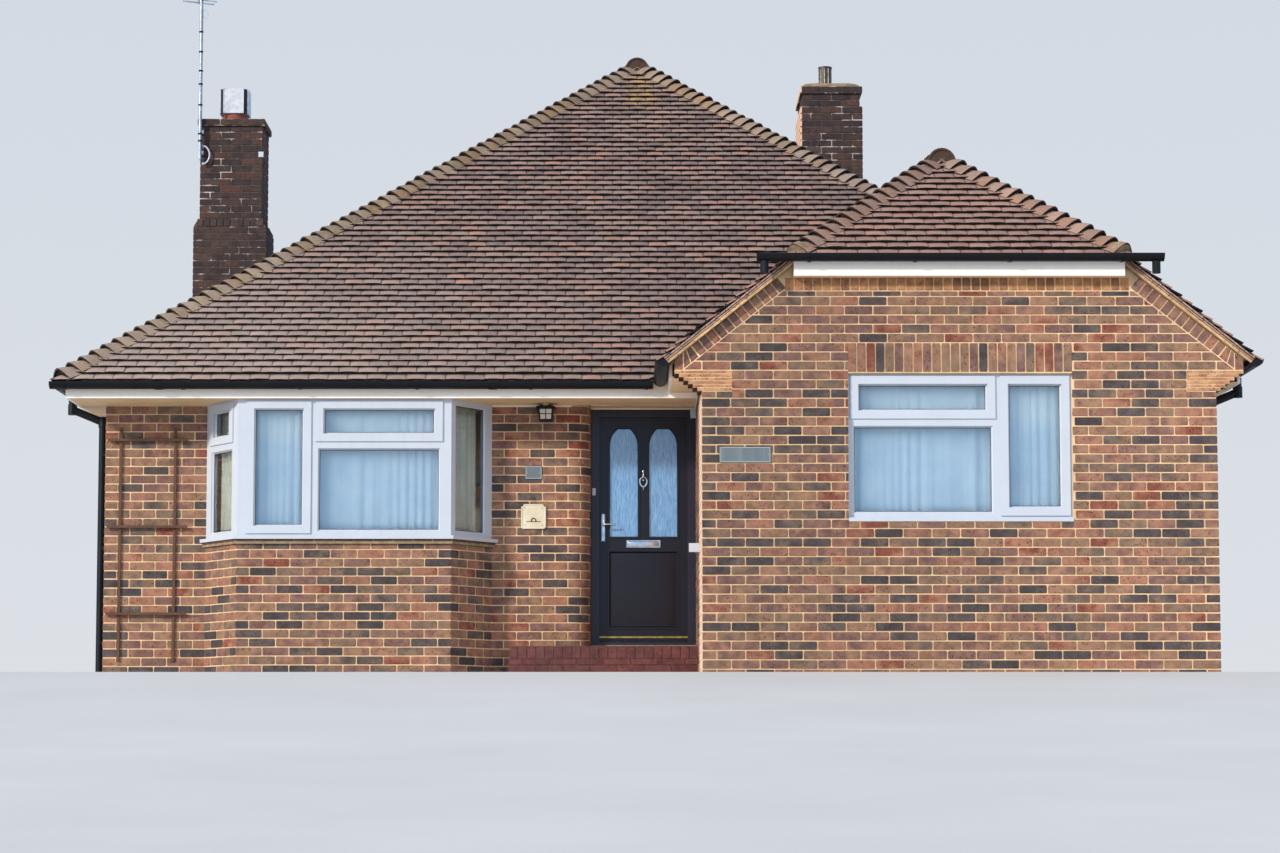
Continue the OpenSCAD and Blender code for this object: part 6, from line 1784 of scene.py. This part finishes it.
lantern_arm.box((LAMP.x - 0.024, -5.528, 2.3495), (LAMP.x + 0.024, -5.402, UNDER_SOFFIT))
lantern_arm.box((LAMP.x - 0.034, -5.413, 2.318), (LAMP.x + 0.034, -5.4045, UNDER_SOFFIT))
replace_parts(lantern.piece("lantern_cage", BLACK_PLASTIC, "black_plastic"), "porch_lantern")
lantern_glass.piece("lantern_panes", FROSTED, "obscure_glass")
lantern_arm.piece("lantern_arm", TRIM, "white_board", bevel=0.003)

rims, screws = Solids(), Solids()
for plate in map(Pane, islands("wall_plates")):
    plate.ring(rims, [(0.003, -0.001), (0.003, 0.002), (0.008, 0.002), (0.008, -0.001)], 0.5)
    for x in (0.016 - plate.half, plate.half - 0.016):
        screws.turned([(0.0, 0.0), (0.0042, 0.0), (0.0038, 0.0022), (0.0, 0.003)],
                      plate.point(x, (plate.low + plate.high) / 2, 0.0), 12, (0, -1, 0), 0.5)
rims.piece("plate_rims", PLATE_EDGE_HIGHLIGHT, "slate")

sign = Solids()
low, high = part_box("wall_plaque")
mid = (low + high) / 2
HALF_W, HALF_H, NOTCH = (high.x - low.x) / 2, (high.z - low.z) / 2, 0.024


def sign_ring(inset, y):
    """The plaque's outline, set in by a distance: hollow corners at the top, rounded ones below."""
    w, h, line = HALF_W - inset, HALF_H - inset, []
    for x, z in CORNERS:
        for a in arc(0, pi / 2, 5):
            across, up = NOTCH * cos(a), NOTCH * sin(a)
            line.append((x * (w - across), h - up) if z > 0 else (x * (w - NOTCH + across), NOTCH - h - up))
    line.sort(key=lambda p: atan2(p[1], p[0]))
    return [(mid.x + u, y, mid.z + v) for u, v in line]


face = low.y
steps = ((0.0, FRONT - 0.001), (0.0, face + 0.003), (0.003, face), (0.009, face), (0.012, face + 0.004))
sign.loft([sign_ring(inset, y) for inset, y in steps], 0.5)
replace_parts(sign.piece("plaque_body", PLAQUE, "cream_plaque"), "wall_plaque")
relief = Solids()
relief.tube([Vector((mid.x + 0.020 * cos(a), face + 0.002, mid.z - 0.040 + 0.026 * sin(a)))
             for a in arc(0, pi, 8)], 0.0045, 8, 0.5)
relief.tube([(mid.x + x, face + 0.003, mid.z - 0.044) for x in (-0.06, 0.06)], 0.003, 8, 0.5)
for x, z in ((-1, 1), (1, 1), (-1, -1), (1, -1)):
    at = (mid.x + x * (HALF_W - 0.032), face + 0.004, mid.z + z * (HALF_H - 0.034))
    screws.turned([(0.0, 0.0), (0.005, 0.0), (0.0045, 0.0025), (0.0, 0.0035)], at, 12, (0, -1, 0), 0.5)
relief.tube([(mid.x - 0.03, face + 0.006, high.z - 0.004), (mid.x, face + 0.008, high.z + 0.05),
             (mid.x + 0.03, face + 0.006, high.z - 0.004)], 0.0015, 6, 0.5)
relief.tube([(mid.x, FRONT - 0.001, high.z + 0.052), (mid.x, FRONT - 0.016, high.z + 0.052),
             (mid.x, FRONT - 0.018, high.z + 0.062)], 0.003, 8, 0.5)
relief.piece("plaque_relief", TIMBER, "timber", smooth=40)
screws.piece("plate_screws", CHROME, "metal", smooth=40)


# Stage and light

floor_mesh = bpy.data.meshes.new("studio_floor")
# The floor in y and z; it falls away towards the camera
lines = [(-90, -2.6), (-29, -1.45), (-12, -0.45), (-7.6, -0.004), (90, -0.004)]
floor_mesh.from_pydata([(x, y, z) for y, z in lines for x in (-120, 120)], [],
                       [[2 * i, 2 * i + 1, 2 * i + 3, 2 * i + 2] for i in range(len(lines) - 1)])
floor_mesh.shade_smooth()


def floor_build(s):
    """A plain pale floor."""
    grey = s.mix(s.span(s.noise(0.6), 0.3, 0.7), (0.56, 0.55, 0.53, 1), (0.60, 0.59, 0.575, 1))
    return {"Base_Color": grey, "Normal": s.group(GRIT, Scale=8.0, Depth=0.002)["Normal"]}


studio_floor = bpy.data.objects.new("studio_floor", floor_mesh)
bpy.context.scene.collection.objects.link(studio_floor)
floor_mesh.materials.append(finish_of("studio_floor", floor_build, Roughness=0.9))

world = bpy.data.worlds.new("studio")
bpy.context.scene.world = world
world.use_nodes = True
w = Shades(world.node_tree)
height = w.put("SeparateXYZ", 2, i0=w.put("TexCoord", "Generated"))
seen = w.ramp(w.span(height, -0.1, 0.6), [(0.0, srgb(236, 239, 243)), (1.0, srgb(206, 218, 234))])
lit = w.ramp(w.span(height, -0.2, 0.9),
             [(0.0, (0.42, 0.38, 0.34, 1)), (0.18, (0.66, 0.70, 0.76, 1)), (1.0, (0.50, 0.62, 0.84, 1))])
glossy = w.ramp(w.span(height, -0.1, 0.6),
                [(0.0, (0.7, 0.95, 1.15, 1)), (0.3, (0.55, 0.95, 1.4, 1)), (1.0, (0.3, 0.6, 1.1, 1))])
background = next(n for n in world.node_tree.nodes if n.type == "BACKGROUND")
rays = w.put("LightPath", None)
plain = w.mix(rays.outputs["Is Camera Ray"], lit, seen)
w.feed(background.inputs["Color"], w.mix(rays.outputs["Is Glossy Ray"], plain, glossy))
background.inputs["Strength"].default_value = 0.9


def sun(name, turn, strength, spread, colour):
    data = bpy.data.lights.new(name, "SUN")
    data.energy, data.angle, data.color = strength, radians(spread), colour
    lamp = bpy.data.objects.new(name, data)
    lamp.rotation_euler = [radians(a) for a in turn]
    bpy.context.scene.collection.objects.link(lamp)


sun("key", (64.5, 0, -49), 3.75, 6, (1.0, 0.93, 0.82))
sun("fill", (62, 0, 30), 0.5, 40, (0.85, 0.92, 1.0))
